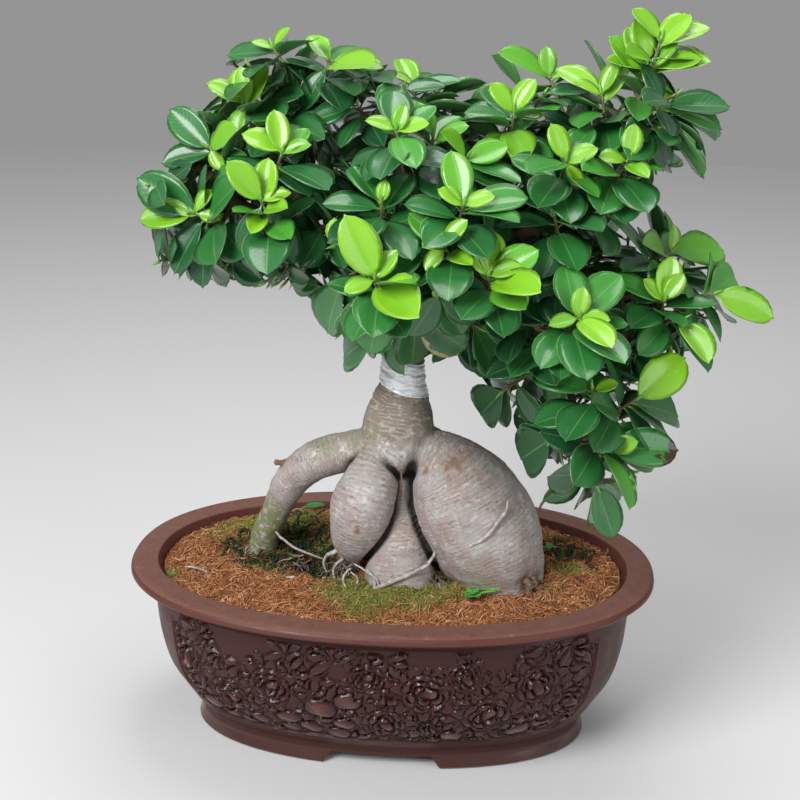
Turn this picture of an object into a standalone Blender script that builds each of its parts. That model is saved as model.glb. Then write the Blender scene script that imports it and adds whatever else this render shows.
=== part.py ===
# Ginseng ficus: a grafted fig with swollen roots, in an oval stoneware pot
# Lengths are in millimetres here and are scaled to metres where a mesh is made.
# The pot stands on z = 0 with its long side along X, and its front faces -Y.

import math
import random

import bmesh
import bpy
from mathutils import Matrix, Vector
from mathutils.bvhtree import BVHTree

MM = 0.001
GAP = 0.35

# Pot
RIM_HALF_LENGTH = 170.0
RIM_HALF_WIDTH = 108.5
RIM_TOP = 117.0
OVAL_POWER = 2.2
WIDTH_TAPER = 1.05
POT_SIDES = 36
FLOOR_TOP = 17.0
UNDERSIDE = 9.5
ARCH_TOP_WIDTH = 64.0
ARCH_FOOT_WIDTH = 78.0
ARCH_HEIGHT = 8.0
DRAIN_HOLE_RADIUS = 9.0
DRAIN_HOLE_X = 55.0
MESH_SIDE = 32.0
MESH_CELLS = 5
MESH_THICKNESS = 1.2

# The pot's wall as (inset from the rim's widest line, height), foot first
POT_OUTSIDE = [(42, 0), (41, 3), (42, 8), (43.5, 12), (39, 18), (30, 33), (22, 48), (17.5, 66),
               (15.5, 84), (14.5, 107), (1.5, 111), (0, 114.5), (2, RIM_TOP)]
POT_INSIDE = [(17, RIM_TOP), (22.5, 106), (25, 75), (39, 32), (52, FLOOR_TOP)]
FOOT_INSIDE = [(54, 0), (55, UNDERSIDE)]

# Soil
SOIL_EDGE = 111.0
SOIL_CROWN = 6.0
SOIL_HALF_LENGTH = 150.0
SOIL_HALF_WIDTH = 90.0
MOUND_X = -95.0
MOUND_Y = 50.0
MOUND_HEIGHT = 5.0
MOUND_REACH = 45.0

# Roots and neck as chains of (x, y, z, radius)
ROOT_CHAINS = {
    "neck": [(7, 0, 260, 11.5), (6, 0, 246, 13), (6, 0, 235, 14), (5, 0, 227, 17.5),
             (5, -1, 219, 20), (4, -2, 211, 23), (4, -3, 201, 24)],
    "arched root": [(-4, -3, 194, 17), (-26, -2, 191, 13.5), (-45, -2, 186, 13), (-62, 0, 173, 12),
                    (-73, 3, 153, 10.5), (-81, 6, 134, 9.8), (-87, 7, 116, 9.5), (-92, 8, 95, 9),
                    (-95, 8, 76, 5)],
    "drop root": [(-4, -8, 196, 15), (-10, -16, 187, 14.5), (-12, -22, 177, 18), (-16, -26, 165, 20),
                  (-19, -25, 150, 18), (-23, -21, 135, 12.5), (-25, -18, 124, 8), (-27, -16, 108, 6)],
    "middle root": [(3, -6, 178, 10), (5, -9, 159, 12), (6, -15, 144, 17), (7, -21, 129, 21),
                    (8, -25, 112, 23), (8, -25, 96, 20), (8, -25, 83, 14)],
    "great root": [(13, -5, 197, 17), (31, -8, 191, 18), (41, -10, 180, 26), (48, -12, 166, 34),
                   (59, -13, 147, 36.5), (66, -13, 131, 33), (70, -13, 112, 29), (71, -13, 97, 24),
                   (72, -12, 85, 16)],
    "back left root": [(-2, 6, 194, 17), (-12, 24, 176, 16), (-22, 38, 152, 15), (-28, 45, 126, 13),
                       (-31, 48, 100, 11), (-32, 48, 82, 6)],
    "back right root": [(14, 6, 194, 18), (30, 24, 174, 18), (42, 38, 148, 17), (48, 46, 122, 15),
                        (50, 50, 98, 12), (50, 50, 82, 7)],
}
VOXEL = 2.4
ROOT_TRIANGLES = 950

# Grafted branches as (x, y, z, radius), thick end first
BRANCHES = {
    "scion": [(6, 0, 250, 11), (8, 2, 270, 10), (9, 3, 288, 8.5)],
    "left": [(8, 2, 272, 8), (-22, -5, 303, 6.5), (-60, -8, 333, 5.5), (-98, -5, 352, 4.5),
             (-118, 2, 372, 3)],
    "left top": [(-48, -8, 326, 4.5), (-62, 2, 362, 4), (-72, 12, 398, 3.5), (-66, 14, 418, 2.6)],
    "middle": [(8, 2, 278, 7.5), (12, 8, 318, 6.5), (4, 12, 362, 5), (-4, 12, 398, 3)],
    "right": [(8, 2, 276, 8.5), (42, 0, 305, 7.5), (80, 0, 335, 6.5), (110, 4, 372, 5), (124, 6, 404, 3.2)],
    "right low": [(56, 0, 316, 5.5), (96, -18, 314, 5), (134, -26, 308, 4), (160, -24, 306, 3)],
    "hanging": [(8, -3, 268, 6), (50, -18, 284, 5.5), (86, -38, 276, 4.5), (108, -54, 252, 3.6),
                (116, -64, 232, 2.8)],
    "front": [(6, -4, 274, 5.5), (2, -32, 300, 4.5), (-2, -62, 316, 3.4), (-3, -76, 318, 2.8)],
    "front right": [(38, 0, 302, 5), (58, -34, 318, 4.2), (76, -62, 308, 3.2), (90, -74, 300, 2.6)],
    "front upper": [(10, 4, 306, 5), (22, -24, 336, 4), (30, -50, 348, 3), (32, -60, 354, 2.6)],
    "upper right": [(11, 8, 326, 5), (44, 6, 366, 4.2), (66, 2, 392, 3), (72, 2, 400, 2.6)],
    "right shoulder": [(84, 1, 342, 4.5), (94, -20, 356, 3.6), (108, -32, 368, 2.8)],
    "left front": [(-30, -6, 309, 4.6), (-54, -30, 330, 3.8), (-68, -42, 348, 3)],
    "back": [(8, 6, 282, 6), (8, 40, 312, 5), (0, 66, 338, 4), (-6, 72, 362, 2.8)],
    "back left": [(-40, -6, 318, 5), (-66, 30, 338, 4), (-88, 50, 352, 3), (-96, 52, 366, 2.6)],
    "back right": [(60, 1, 320, 5), (84, 34, 338, 4), (110, 50, 348, 3), (120, 46, 364, 2.6)],
    "back low": [(10, 6, 270, 5.5), (48, 32, 282, 4.5), (84, 48, 276, 3.4), (104, 46, 270, 2.6)],
    "back top": [(20, 8, 340, 4), (36, 34, 366, 3.4), (44, 44, 384, 2.6)],
}
BRANCH_SIDES = 5
PLACES_A_SPAN = 8
THICKEST_FOR_TWIGS = 6.6

# Graft tape
NECK_X = 6.0
NECK_RADIUS = 14.0
TAPE_LOW = 236.0
TAPE_HIGH = 257.0
TAPE_SLANT = -0.32
TAPE_THICKNESS = 1.4
TAPE_SIDES = 16

# Twigs and leaves
TWIG_SIDES = 3
TWIG_STEPS = 2
TWIG_RADIUS = 1.9
TWIG_TIP_RADIUS = 1.3
TWIG_REACH = 42.0
SIDE_TWIG_START = 0.8
PLACES_TRIED = 60
SEATING_STEPS = 6
LEAF_SPACING = 2.4
LEAF_STRETCH = 1.1
SHORTEST_OLD_LEAF = 30.0
LONGEST_LEAF = 46.0
BLADE_THICKNESS = 1.0
CLEAR = 0.45
ROOT_SHARE = 0.15
FOLD = 0.07
DROOP = 0.13
GOLDEN_ANGLE = 137.5
FRONT_VIEW_TURN = 4.9
FRONT_VIEW_RISE = 20.0

# Shoots on the front half: (tip), (stem's clock angle, lean to the front), leaves from the tip down.
# A leaf is (clock angle, length, age), seen from the front and a little above; age runs from 1 to 9.
FRONT_SHOOTS = [
    ((-75, 20, 440), (120, 10), [(175, 32, 8), (100, 24, 9), (20, 19, 7), (215, 22, 8)]),
    ((-40, 10, 435), (90, 15), [(120, 20, 2), (355, 31, 1), (50, 27, 6), (150, 25, 8),
      (330, 29, 8), (305, 23, 9), (25, 29, 8)]),
    ((-90, 0, 410), (120, 20), [(112, 21, 1), (65, 23, 1), (350, 25, 8), (20, 29, 9)]),
    ((-110, -10, 385), (150, 20), [(30, 21, 2), (148, 24, 4), (166, 46, 8), (185, 27, 7),
      (310, 21, 6), (60, 25, 8), (235, 25, 9)]),
    ((-115, -30, 350), (165, 25), [(183, 32, 1), (165, 17, 1), (95, 28, 7), (50, 30, 7),
      (156, 43, 8), (270, 30, 8), (222, 44, 8), (305, 27, 8)]),
    ((-70, -60, 365), (100, 45), [(130, 25, 1), (84, 24, 1), (5, 16, 1), (238, 16, 1),
      (178, 20, 4), (325, 21, 5), (272, 35, 8), (40, 22, 8)]),
    ((-60, -45, 390), (80, 35), [(100, 23, 1), (55, 22, 4), (70, 25, 7), (340, 31, 8),
      (300, 24, 8), (200, 24, 8), (150, 22, 9)]),
    ((5, -50, 405), (90, 40), [(95, 27, 7), (300, 26, 5), (50, 24, 6), (245, 26, 8), (215, 24, 8),
      (180, 27, 9), (350, 24, 9)]),
    ((0, -80, 370), (95, 40), [(120, 28, 7), (170, 29, 8), (60, 23, 7), (225, 25, 8), (300, 28, 8),
      (195, 25, 9), (20, 23, 8)]),
    ((10, 15, 420), (85, 0), [(110, 22, 1), (45, 29, 5), (75, 27, 5), (150, 28, 4), (20, 24, 5),
      (5, 36, 7), (190, 29, 8), (335, 28, 8)]),
    ((70, -10, 410), (95, 30), [(60, 16, 1), (12, 26, 5), (115, 22, 7), (172, 20, 6), (285, 25, 2),
      (215, 21, 2), (335, 22, 6), (40, 27, 8)]),
    ((25, -35, 400), (80, 30), [(110, 21, 3), (25, 18, 3), (150, 21, 6), (60, 24, 6), (330, 24, 7),
      (200, 24, 8), (285, 24, 8)]),
    ((45, -45, 390), (60, 35), [(135, 20, 2), (25, 24, 3), (350, 30, 6), (275, 19, 6),
      (315, 25, 7), (180, 26, 8), (215, 24, 8), (70, 23, 7)]),
    ((90, 25, 425), (110, 0), [(150, 30, 3), (30, 19, 4), (190, 26, 6), (215, 23, 7), (350, 26, 8),
      (60, 26, 8)]),
    ((120, 0, 420), (110, 10), [(140, 29, 1), (105, 21, 1), (65, 24, 1), (158, 25, 4),
      (205, 26, 6), (265, 23, 7), (330, 24, 7), (25, 25, 8)]),
    ((145, 5, 435), (80, 15), [(112, 25, 1), (30, 30, 1), (50, 28, 1), (125, 28, 2), (62, 37, 2),
      (80, 22, 1), (140, 25, 4), (245, 24, 5), (300, 25, 6), (190, 25, 6)]),
    ((155, -10, 415), (50, 5), [(350, 39, 7), (15, 32, 7), (335, 29, 8), (318, 40, 8),
      (305, 27, 8), (120, 25, 7), (240, 27, 8)]),
    ((135, -40, 390), (70, 40), [(95, 16, 1), (325, 16, 2), (60, 19, 5), (5, 20, 5), (180, 25, 5),
      (310, 28, 8), (240, 24, 7), (140, 22, 6), (285, 26, 8)]),
    ((100, -50, 390), (90, 40), [(195, 25, 6), (60, 23, 6), (350, 25, 5), (20, 26, 6),
      (230, 24, 8), (150, 24, 7), (280, 24, 8)]),
    ((95, -55, 360), (100, 30), [(112, 28, 8), (0, 31, 8), (175, 30, 8), (60, 21, 7), (290, 24, 8),
      (235, 24, 8), (140, 27, 8)]),
    ((125, -40, 360), (30, 20), [(322, 34, 8), (345, 24, 8), (40, 22, 7), (285, 27, 9),
      (110, 24, 8), (200, 24, 9)]),
    ((45, -80, 370), (80, 40), [(100, 29, 3), (15, 32, 6), (355, 27, 6), (70, 21, 6), (160, 25, 7),
      (215, 24, 7), (310, 25, 8), (270, 23, 8)]),
    ((35, -90, 350), (110, 45), [(135, 24, 4), (165, 18, 1), (330, 16, 1), (320, 28, 4),
      (265, 23, 8), (20, 23, 7), (205, 24, 8), (75, 23, 8)]),
    ((60, -95, 335), (80, 45), [(95, 25, 1), (35, 27, 3), (355, 29, 1), (108, 21, 3), (330, 23, 3),
      (215, 20, 8), (285, 21, 8), (60, 31, 7), (160, 21, 8)]),
    ((165, -10, 330), (40, 10), [(10, 36, 3), (165, 27, 2), (45, 25, 5), (310, 26, 6),
      (190, 27, 7), (75, 22, 7), (250, 25, 8)]),
    ((160, -45, 310), (80, 40), [(80, 24, 1), (150, 29, 6), (118, 26, 6), (10, 29, 7),
      (200, 22, 7), (300, 24, 7), (250, 24, 8), (45, 30, 8)]),
    ((190, -25, 310), (15, 15), [(342, 36, 1), (30, 28, 5), (60, 24, 5), (346, 32, 7),
      (310, 24, 7), (290, 29, 8), (150, 27, 8), (110, 22, 7), (210, 24, 8)]),
    ((110, -100, 315), (85, 50), [(318, 24, 1), (100, 29, 6), (50, 34, 6), (325, 32, 7),
      (285, 32, 7), (218, 25, 7), (150, 25, 8), (15, 30, 7), (255, 25, 8)]),
    ((170, -50, 300), (40, 30), [(295, 27, 1), (20, 26, 6), (318, 33, 8), (200, 24, 7),
      (240, 30, 8), (345, 29, 8), (100, 21, 8)]),
    ((145, -75, 260), (30, 30), [(40, 36, 1), (354, 32, 8), (335, 27, 8), (310, 25, 9),
      (100, 25, 8), (160, 23, 8), (240, 25, 8)]),
    ((120, -90, 270), (110, 40), [(160, 31, 7), (315, 25, 7), (130, 26, 6), (225, 26, 8),
      (60, 25, 8), (190, 30, 8), (280, 26, 8)]),
    ((130, -90, 235), (10, 35), [(0, 42, 8), (35, 27, 7), (302, 32, 4), (240, 25, 8), (335, 27, 8),
      (85, 23, 8), (150, 23, 9)]),
    ((125, -80, 210), (300, 25), [(295, 36, 8), (320, 31, 8), (265, 26, 8), (190, 25, 9),
      (225, 28, 9), (20, 25, 8)]),
    ((100, -65, 230), (215, 25), [(218, 33, 9), (195, 32, 9), (240, 29, 9), (262, 32, 9),
      (165, 28, 9), (110, 23, 9), (320, 23, 9)]),
    ((70, -40, 250), (215, 10), [(225, 31, 9), (245, 30, 9), (205, 27, 9), (300, 24, 9),
      (160, 24, 9), (20, 27, 9)]),
    ((0, -110, 335), (100, 50), [(125, 35, 1), (100, 25, 1), (325, 31, 1), (5, 31, 4),
      (265, 29, 7), (48, 26, 7), (228, 26, 7), (165, 25, 7), (300, 27, 8), (20, 22, 8)]),
    ((35, -90, 320), (290, 45), [(75, 17, 1), (340, 29, 8), (240, 23, 8), (300, 26, 8),
      (200, 23, 8), (30, 23, 8), (100, 21, 8)]),
    ((-25, -80, 345), (190, 35), [(80, 17, 2), (215, 31, 1), (178, 23, 6), (235, 21, 6),
      (140, 25, 8), (270, 23, 8), (110, 28, 8)]),
    ((-25, -60, 320), (215, 20), [(245, 32, 7), (215, 29, 7), (232, 36, 8), (262, 27, 8),
      (190, 24, 8), (290, 26, 8)]),
    ((-5, -50, 285), (215, 25), [(205, 38, 8), (190, 31, 9), (165, 26, 9), (250, 25, 8),
      (290, 24, 9)]),
    ((20, -75, 305), (290, 35), [(305, 32, 8), (342, 29, 8), (276, 31, 8), (225, 25, 8),
      (260, 24, 8), (10, 28, 8)]),
    ((55, -60, 295), (320, 30), [(352, 33, 8), (20, 27, 8), (325, 31, 8), (300, 28, 9),
      (200, 26, 9), (150, 24, 9), (250, 27, 9)]),
]

# Side shoots that fork from a front stem, by the stem's number
SIDE_SHOOTS = {
    16: [((152, 6, 451), (75, 10), [(125, 22, 1), (25, 28, 1), (42, 26, 1), (85, 20, 1), (5, 22, 2),
                                    (170, 22, 2)])],
    36: [((2, -92, 322), (250, 30), [(265, 30, 7), (228, 30, 7), (300, 30, 8), (200, 28, 8)])],
}

# Shoots on the back half, three to a leafy stem
BACK_STEMS = [
    [(-120, 30, 375), (-95, 50, 402), (-132, 38, 345)],
    [(-85, 75, 360), (-60, 82, 388), (-66, 56, 418)],
    [(-96, 55, 326), (-62, 72, 332), (-72, 88, 348)],
    [(-30, 58, 404), (-8, 82, 380), (-36, 92, 356)],
    [(22, 52, 414), (42, 78, 392), (12, 96, 368)],
    [(-16, 80, 326), (18, 92, 334), (2, 62, 304)],
    [(76, 44, 416), (92, 70, 394), (60, 86, 372)],
    [(126, 38, 424), (148, 28, 404), (114, 64, 402)],
    [(44, 82, 328), (76, 92, 342), (58, 62, 300)],
    [(108, 78, 354), (142, 52, 366), (132, 70, 334)],
    [(166, 30, 324), (194, 6, 318), (176, 34, 300)],
    [(104, 60, 288), (132, 40, 268), (152, 18, 286)],
]
BACK_LEAVES = 4

# A leaf that would touch another piece takes the first of these turns that is clear
TRIES = [(0, 0, 1.0), (10, 8, 0.95), (-10, 8, 0.95), (10, -12, 0.92), (-10, -12, 0.92), (20, 16, 0.88),
         (-20, 16, 0.88), (0, 30, 0.85), (28, -20, 0.8), (-28, -20, 0.8)]


def make_material(name, colour, roughness, metallic=0.0):
    material = bpy.data.materials.new(name)
    material.use_nodes = True
    shader = material.node_tree.nodes["Principled BSDF"]
    shader.inputs["Base Color"].default_value = (*colour, 1.0)
    shader.inputs["Roughness"].default_value = roughness
    shader.inputs["Metallic"].default_value = metallic
    return material


def make_object(name, points, faces, material):
    mesh = bpy.data.meshes.new(name)
    mesh.from_pydata([[value * MM for value in point] for point in points], [], faces)
    shape = bmesh.new()
    shape.from_mesh(mesh)
    bmesh.ops.recalc_face_normals(shape, faces=shape.faces)
    shape.to_mesh(mesh)
    shape.free()
    mesh.materials.append(material)
    piece = bpy.data.objects.new(name, mesh)
    bpy.context.scene.collection.objects.link(piece)
    return piece


def remove_object(piece):
    mesh = piece.data
    bpy.data.objects.remove(piece)
    bpy.data.meshes.remove(mesh)


def apply_modifiers(piece):
    graph = bpy.context.evaluated_depsgraph_get()
    mesh = bpy.data.meshes.new_from_object(piece.evaluated_get(graph))
    old = piece.data
    piece.modifiers.clear()
    piece.data = mesh
    mesh.name = piece.name
    bpy.data.meshes.remove(old)


def boolean(piece, others, operation, solver="EXACT"):
    """Joins the others to the piece, or cuts them from it, and removes them."""
    group = bpy.data.collections.new("tools")
    bpy.context.scene.collection.children.link(group)
    for other in others:
        bpy.context.scene.collection.objects.unlink(other)
        group.objects.link(other)
    step = piece.modifiers.new(operation, "BOOLEAN")
    step.operation = operation
    step.operand_type = "COLLECTION"
    step.collection = group
    step.solver = solver
    bpy.context.view_layer.update()
    apply_modifiers(piece)
    for other in others:
        remove_object(other)
    bpy.data.collections.remove(group)


def shade(piece, angle):
    piece.data.shade_smooth()
    piece.data.set_sharp_from_angle(angle=math.radians(angle))


def oval(inset, height, sides=POT_SIDES):
    """Ring of points on the pot's oval, drawn in from the rim's widest line."""
    a = RIM_HALF_LENGTH - inset
    b = RIM_HALF_WIDTH - WIDTH_TAPER * inset
    ring = []
    for i in range(sides):
        turn = 2 * math.pi * i / sides
        c = math.cos(turn)
        s = math.sin(turn)
        reach = (abs(c) ** OVAL_POWER + abs(s) ** OVAL_POWER) ** (-1 / OVAL_POWER)
        ring.append((a * reach * c, b * reach * s, height))
    return ring


def loft(rings, start, end):
    """Closed skin over rings of equal count, with a point at each end."""
    sides = len(rings[0])
    points = [point for ring in rings for point in ring] + [start, end]
    faces = []
    for r in range(len(rings) - 1):
        for i in range(sides):
            j = (i + 1) % sides
            faces.append((r * sides + i, r * sides + j, (r + 1) * sides + j, (r + 1) * sides + i))
    last = (len(rings) - 1) * sides
    for i in range(sides):
        j = (i + 1) % sides
        faces.append((len(points) - 2, j, i))
        faces.append((len(points) - 1, last + i, last + j))
    return points, faces


def block(name, corners_low, corners_high, material):
    """Solid between two matching outlines."""
    count = len(corners_low)
    points = corners_low + corners_high
    faces = [tuple(reversed(range(count))), tuple(range(count, 2 * count))]
    for i in range(count):
        j = (i + 1) % count
        faces.append((i, j, count + j, count + i))
    return make_object(name, points, faces, material)


def rod(name, x, y, radius, low, high, sides, material):
    turns = [2 * math.pi * i / sides for i in range(sides)]
    ring = [(x + radius * math.cos(t), y + radius * math.sin(t)) for t in turns]
    return block(name, [(*p, low) for p in ring], [(*p, high) for p in ring], material)


def make_pot(material):
    rings = [oval(inset, height) for inset, height in reversed(FOOT_INSIDE)]
    rings += [oval(inset, height) for inset, height in POT_OUTSIDE + POT_INSIDE]
    points, faces = loft(rings, (0, 0, UNDERSIDE), (0, 0, FLOOR_TOP))
    pot = make_object("pot", points, faces, material)
    depth = RIM_HALF_WIDTH
    top = ARCH_TOP_WIDTH / 2
    foot = ARCH_FOOT_WIDTH / 2
    section = [(-foot, -1.0), (foot, -1.0), (foot, 0.0), (top, ARCH_HEIGHT), (-top, ARCH_HEIGHT), (-foot, 0.0)]
    arch = block("arch", [(x, -depth, z) for x, z in section], [(x, depth, z) for x, z in section], material)
    holes = [rod("hole", side * DRAIN_HOLE_X, 0, DRAIN_HOLE_RADIUS, -5, 30, 16, material) for side in (-1, 1)]
    boolean(pot, [arch] + holes, "DIFFERENCE")
    shade(pot, 40)
    return pot


def make_drain_mesh(name, centre_x, material):
    """Square of drain mesh with four square holes, flat on the pot's floor."""
    low = FLOOR_TOP + GAP
    high = low + MESH_THICKNESS
    half = MESH_SIDE / 2
    pitch = MESH_SIDE / MESH_CELLS
    across = MESH_CELLS + 1
    layer = across * across
    lines = [-half + pitch * k for k in range(across)]
    points = []
    for z in (low, high):
        points += [(centre_x + x, y, z) for y in lines for x in lines]
    faces = []
    for row in range(MESH_CELLS):
        for column in range(MESH_CELLS):
            if row % 2 and column % 2:
                continue
            a = row * across + column
            b = a + 1
            c = b + across
            d = a + across
            faces.append((a, d, c, b))
            faces.append((a + layer, b + layer, c + layer, d + layer))
            for step, ends in (((-1, 0), (a, b)), ((1, 0), (c, d)), ((0, -1), (d, a)), ((0, 1), (b, c))):
                near_row = row + step[0]
                near_column = column + step[1]
                inside = 0 <= near_row < MESH_CELLS and 0 <= near_column < MESH_CELLS
                if not inside or (near_row % 2 and near_column % 2):
                    faces.append((ends[0], ends[1], ends[1] + layer, ends[0] + layer))
    piece = make_object(name, points, faces, material)
    shape = bmesh.new()
    shape.from_mesh(piece.data)
    bmesh.ops.dissolve_limit(shape, angle_limit=math.radians(1), verts=shape.verts, edges=shape.edges)
    bmesh.ops.triangulate(shape, faces=shape.faces)
    shape.to_mesh(piece.data)
    shape.free()
    return piece


def soil_height(x, y):
    """Heaped soil: highest in the middle and at the back left, with low lumps."""
    edge = (abs(x / SOIL_HALF_LENGTH) ** OVAL_POWER
            + abs(y / SOIL_HALF_WIDTH) ** OVAL_POWER) ** (1 / OVAL_POWER)
    mound = MOUND_HEIGHT * math.exp(-((x - MOUND_X) ** 2 + (y - MOUND_Y) ** 2) / MOUND_REACH ** 2)
    lumps = 1.3 * math.sin(0.09 * x + 1) * math.cos(0.11 * y) + 0.7 * math.sin(0.21 * x + 0.17 * y)
    inward = max(0.0, 1 - edge)
    return SOIL_EDGE + SOIL_CROWN * min(1.0, 2.2 * inward) + (mound + lumps) * min(1.0, 4 * inward)


def make_soil(trunk, material):
    floor = FLOOR_TOP + 2 * GAP + MESH_THICKNESS
    inside = POT_INSIDE[::-1]
    spacing = 1.5 * GAP
    share = (floor - inside[0][1]) / (inside[1][1] - inside[0][1])
    rings = [oval(inside[0][0] + share * (inside[1][0] - inside[0][0]) + spacing, floor)]
    rings += [oval(inset + spacing, height) for inset, height in inside[1:4]]
    share = (SOIL_EDGE - inside[3][1]) / (inside[4][1] - inside[3][1])
    edge = oval(inside[3][0] + share * (inside[4][0] - inside[3][0]) + spacing, SOIL_EDGE)
    rings.append(edge)
    for scale in (0.8, 0.4):
        rings.append([(x * scale, y * scale, soil_height(x * scale, y * scale)) for x, y, _ in edge])
    points, faces = loft(rings, (0, 0, floor), (0, 0, soil_height(0, 0)))
    soil = make_object("soil", points, faces, material)
    cutter = bpy.data.objects.new("roots", trunk.data.copy())
    bpy.context.scene.collection.objects.link(cutter)
    for vertex in cutter.data.vertices:
        vertex.co += vertex.normal * GAP * MM
    boolean(soil, [cutter], "DIFFERENCE")
    shade(soil, 60)
    return soil


def smooth_path(knots, steps):
    """Points on a Catmull-Rom curve through the knots, each knot a tuple of any length."""
    ends = [tuple(2 * a - b for a, b in zip(knots[0], knots[1]))]
    ends.append(tuple(2 * a - b for a, b in zip(knots[-1], knots[-2])))
    run = [ends[0]] + list(knots) + [ends[1]]
    path = []
    for k in range(1, len(run) - 2):
        for step in range(steps):
            t = step / steps
            path.append(tuple(
                0.5 * (2 * b + (c - a) * t + (2 * a - 5 * b + 4 * c - d) * t * t
                       + (3 * b - a - 3 * c + d) * t ** 3)
                for a, b, c, d in zip(run[k - 1], run[k], run[k + 1], run[k + 2])
            ))
    path.append(tuple(float(value) for value in knots[-1]))
    return path


def tube_rings(path, radii, sides):
    """Rings square to a path, turned as little as possible from one to the next."""
    points = [Vector(point) for point in path]
    tangents = []
    for i in range(len(points)):
        tangents.append((points[min(i + 1, len(points) - 1)] - points[max(i - 1, 0)]).normalized())
    side = tangents[0].orthogonal().normalized()
    rings = []
    for point, tangent, radius in zip(points, tangents, radii):
        side = (side - tangent * side.dot(tangent)).normalized()
        up = tangent.cross(side)
        ring = []
        for i in range(sides):
            turn = 2 * math.pi * i / sides
            ring.append(tuple(point + radius * (math.cos(turn) * side + math.sin(turn) * up)))
        rings.append(ring)
    return rings


def make_tube(name, path, radii, sides, material):
    rings = tube_rings(path, radii, sides)
    points, faces = loft(rings, tuple(path[0]), tuple(path[-1]))
    return make_object(name, points, faces, material)


def make_roots(material):
    """Swollen roots and neck, as one skin over chains of balls."""
    shape = bmesh.new()
    for chain in ROOT_CHAINS.values():
        for x, y, z, radius in smooth_path(chain, 6):
            place = Matrix.Translation(Vector((x, y, z)) * MM)
            bmesh.ops.create_icosphere(shape, subdivisions=2, radius=radius * MM, matrix=place)
    mesh = bpy.data.meshes.new("trunk")
    shape.to_mesh(mesh)
    shape.free()
    mesh.materials.append(material)
    trunk = bpy.data.objects.new("trunk", mesh)
    bpy.context.scene.collection.objects.link(trunk)
    skin = trunk.modifiers.new("skin", "REMESH")
    skin.mode = "VOXEL"
    skin.voxel_size = VOXEL * MM
    even = trunk.modifiers.new("even", "SMOOTH")
    even.factor = 0.5
    even.iterations = 8
    bpy.context.view_layer.update()
    apply_modifiers(trunk)
    trunk.data.calc_loop_triangles()
    fewer = trunk.modifiers.new("fewer", "DECIMATE")
    fewer.ratio = ROOT_TRIANGLES / len(trunk.data.loop_triangles)
    bpy.context.view_layer.update()
    apply_modifiers(trunk)
    return trunk


def make_trunk(material):
    trunk = make_roots(material)
    tubes = []
    for name, knots in BRANCHES.items():
        path = [knot[:3] for knot in knots]
        tubes.append(make_tube(name, path, [knot[3] for knot in knots], BRANCH_SIDES, material))
    boolean(trunk, tubes, "UNION")
    shade(trunk, 50)
    return trunk


def tree_of(piece):
    piece.data.calc_loop_triangles()
    points = [vertex.co / MM for vertex in piece.data.vertices]
    faces = [tuple(triangle.vertices) for triangle in piece.data.loop_triangles]
    return BVHTree.FromPolygons(points, faces)


def neck_reach(trunk_tree, centre, turn):
    """How far the neck reaches from its middle round about one direction."""
    reach = 0.0
    for across in (-1, -0.5, 0, 0.5, 1):
        for rise in (-4, 0, 4):
            near = turn + across * 2 * math.pi / TAPE_SIDES
            out = Vector((math.cos(near), math.sin(near), 0))
            middle = centre + Vector((0, 0, rise))
            hit = trunk_tree.ray_cast(middle + out * 60, -out)[0]
            reach = max(reach, (hit - middle).length)
    return reach


def make_tape(trunk_tree, material):
    """Slanting sleeve that follows the neck a hair's breadth off it."""
    inner = []
    outer = []
    levels = 3
    for level in range(levels):
        inner.append([])
        outer.append([])
        for i in range(TAPE_SIDES):
            turn = 2 * math.pi * i / TAPE_SIDES
            out = Vector((math.cos(turn), math.sin(turn), 0))
            height = TAPE_LOW + (TAPE_HIGH - TAPE_LOW) * level / (levels - 1)
            centre = Vector((NECK_X, 0, height + TAPE_SLANT * NECK_RADIUS * out.x))
            radius = neck_reach(trunk_tree, centre, turn) / math.cos(math.pi / TAPE_SIDES) + GAP
            inner[-1].append(tuple(centre + out * radius))
            outer[-1].append(tuple(centre + out * (radius + TAPE_THICKNESS)))
    rings = outer + inner[::-1]
    count = len(rings)
    points = [point for ring in rings for point in ring]
    faces = []
    for r in range(count):
        for i in range(TAPE_SIDES):
            j = (i + 1) % TAPE_SIDES
            a = r * TAPE_SIDES
            b = ((r + 1) % count) * TAPE_SIDES
            faces.append((a + i, a + j, b + j, b + i))
    tape = make_object("graft_tape", points, faces, material)
    shade(tape, 50)
    return tape


def view_direction(angle, lean):
    """Direction seen at a clock angle from the front, leaning towards the viewer."""
    turn = math.radians(FRONT_VIEW_TURN)
    rise = math.radians(FRONT_VIEW_RISE)
    right = Vector((math.cos(turn), math.sin(turn), 0))
    toward = Vector((math.sin(turn) * math.cos(rise), -math.cos(turn) * math.cos(rise), math.sin(rise)))
    up = toward.cross(right)
    a = math.radians(angle)
    b = math.radians(lean)
    return (right * math.cos(a) + up * math.sin(a)) * math.cos(b) + toward * math.sin(b)


def spread(age):
    """Angle between a leaf and its stem: young leaves stand up, old ones spread."""
    return 30 + 5.5 * age


def leaf_on_front(heading, angle, length, age):
    """Direction and length of a leaf given as it shows from the front."""
    length *= LEAF_STRETCH
    if age > 5:
        length = max(length, SHORTEST_OLD_LEAF)
    lean = min(range(-55, 60, 5), key=lambda b: abs(
        math.degrees(heading.angle(view_direction(angle, b))) - spread(age)) + 0.12 * abs(b))
    return angle, lean, min(length / math.cos(math.radians(lean)), 1.25 * length, LONGEST_LEAF)


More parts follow.
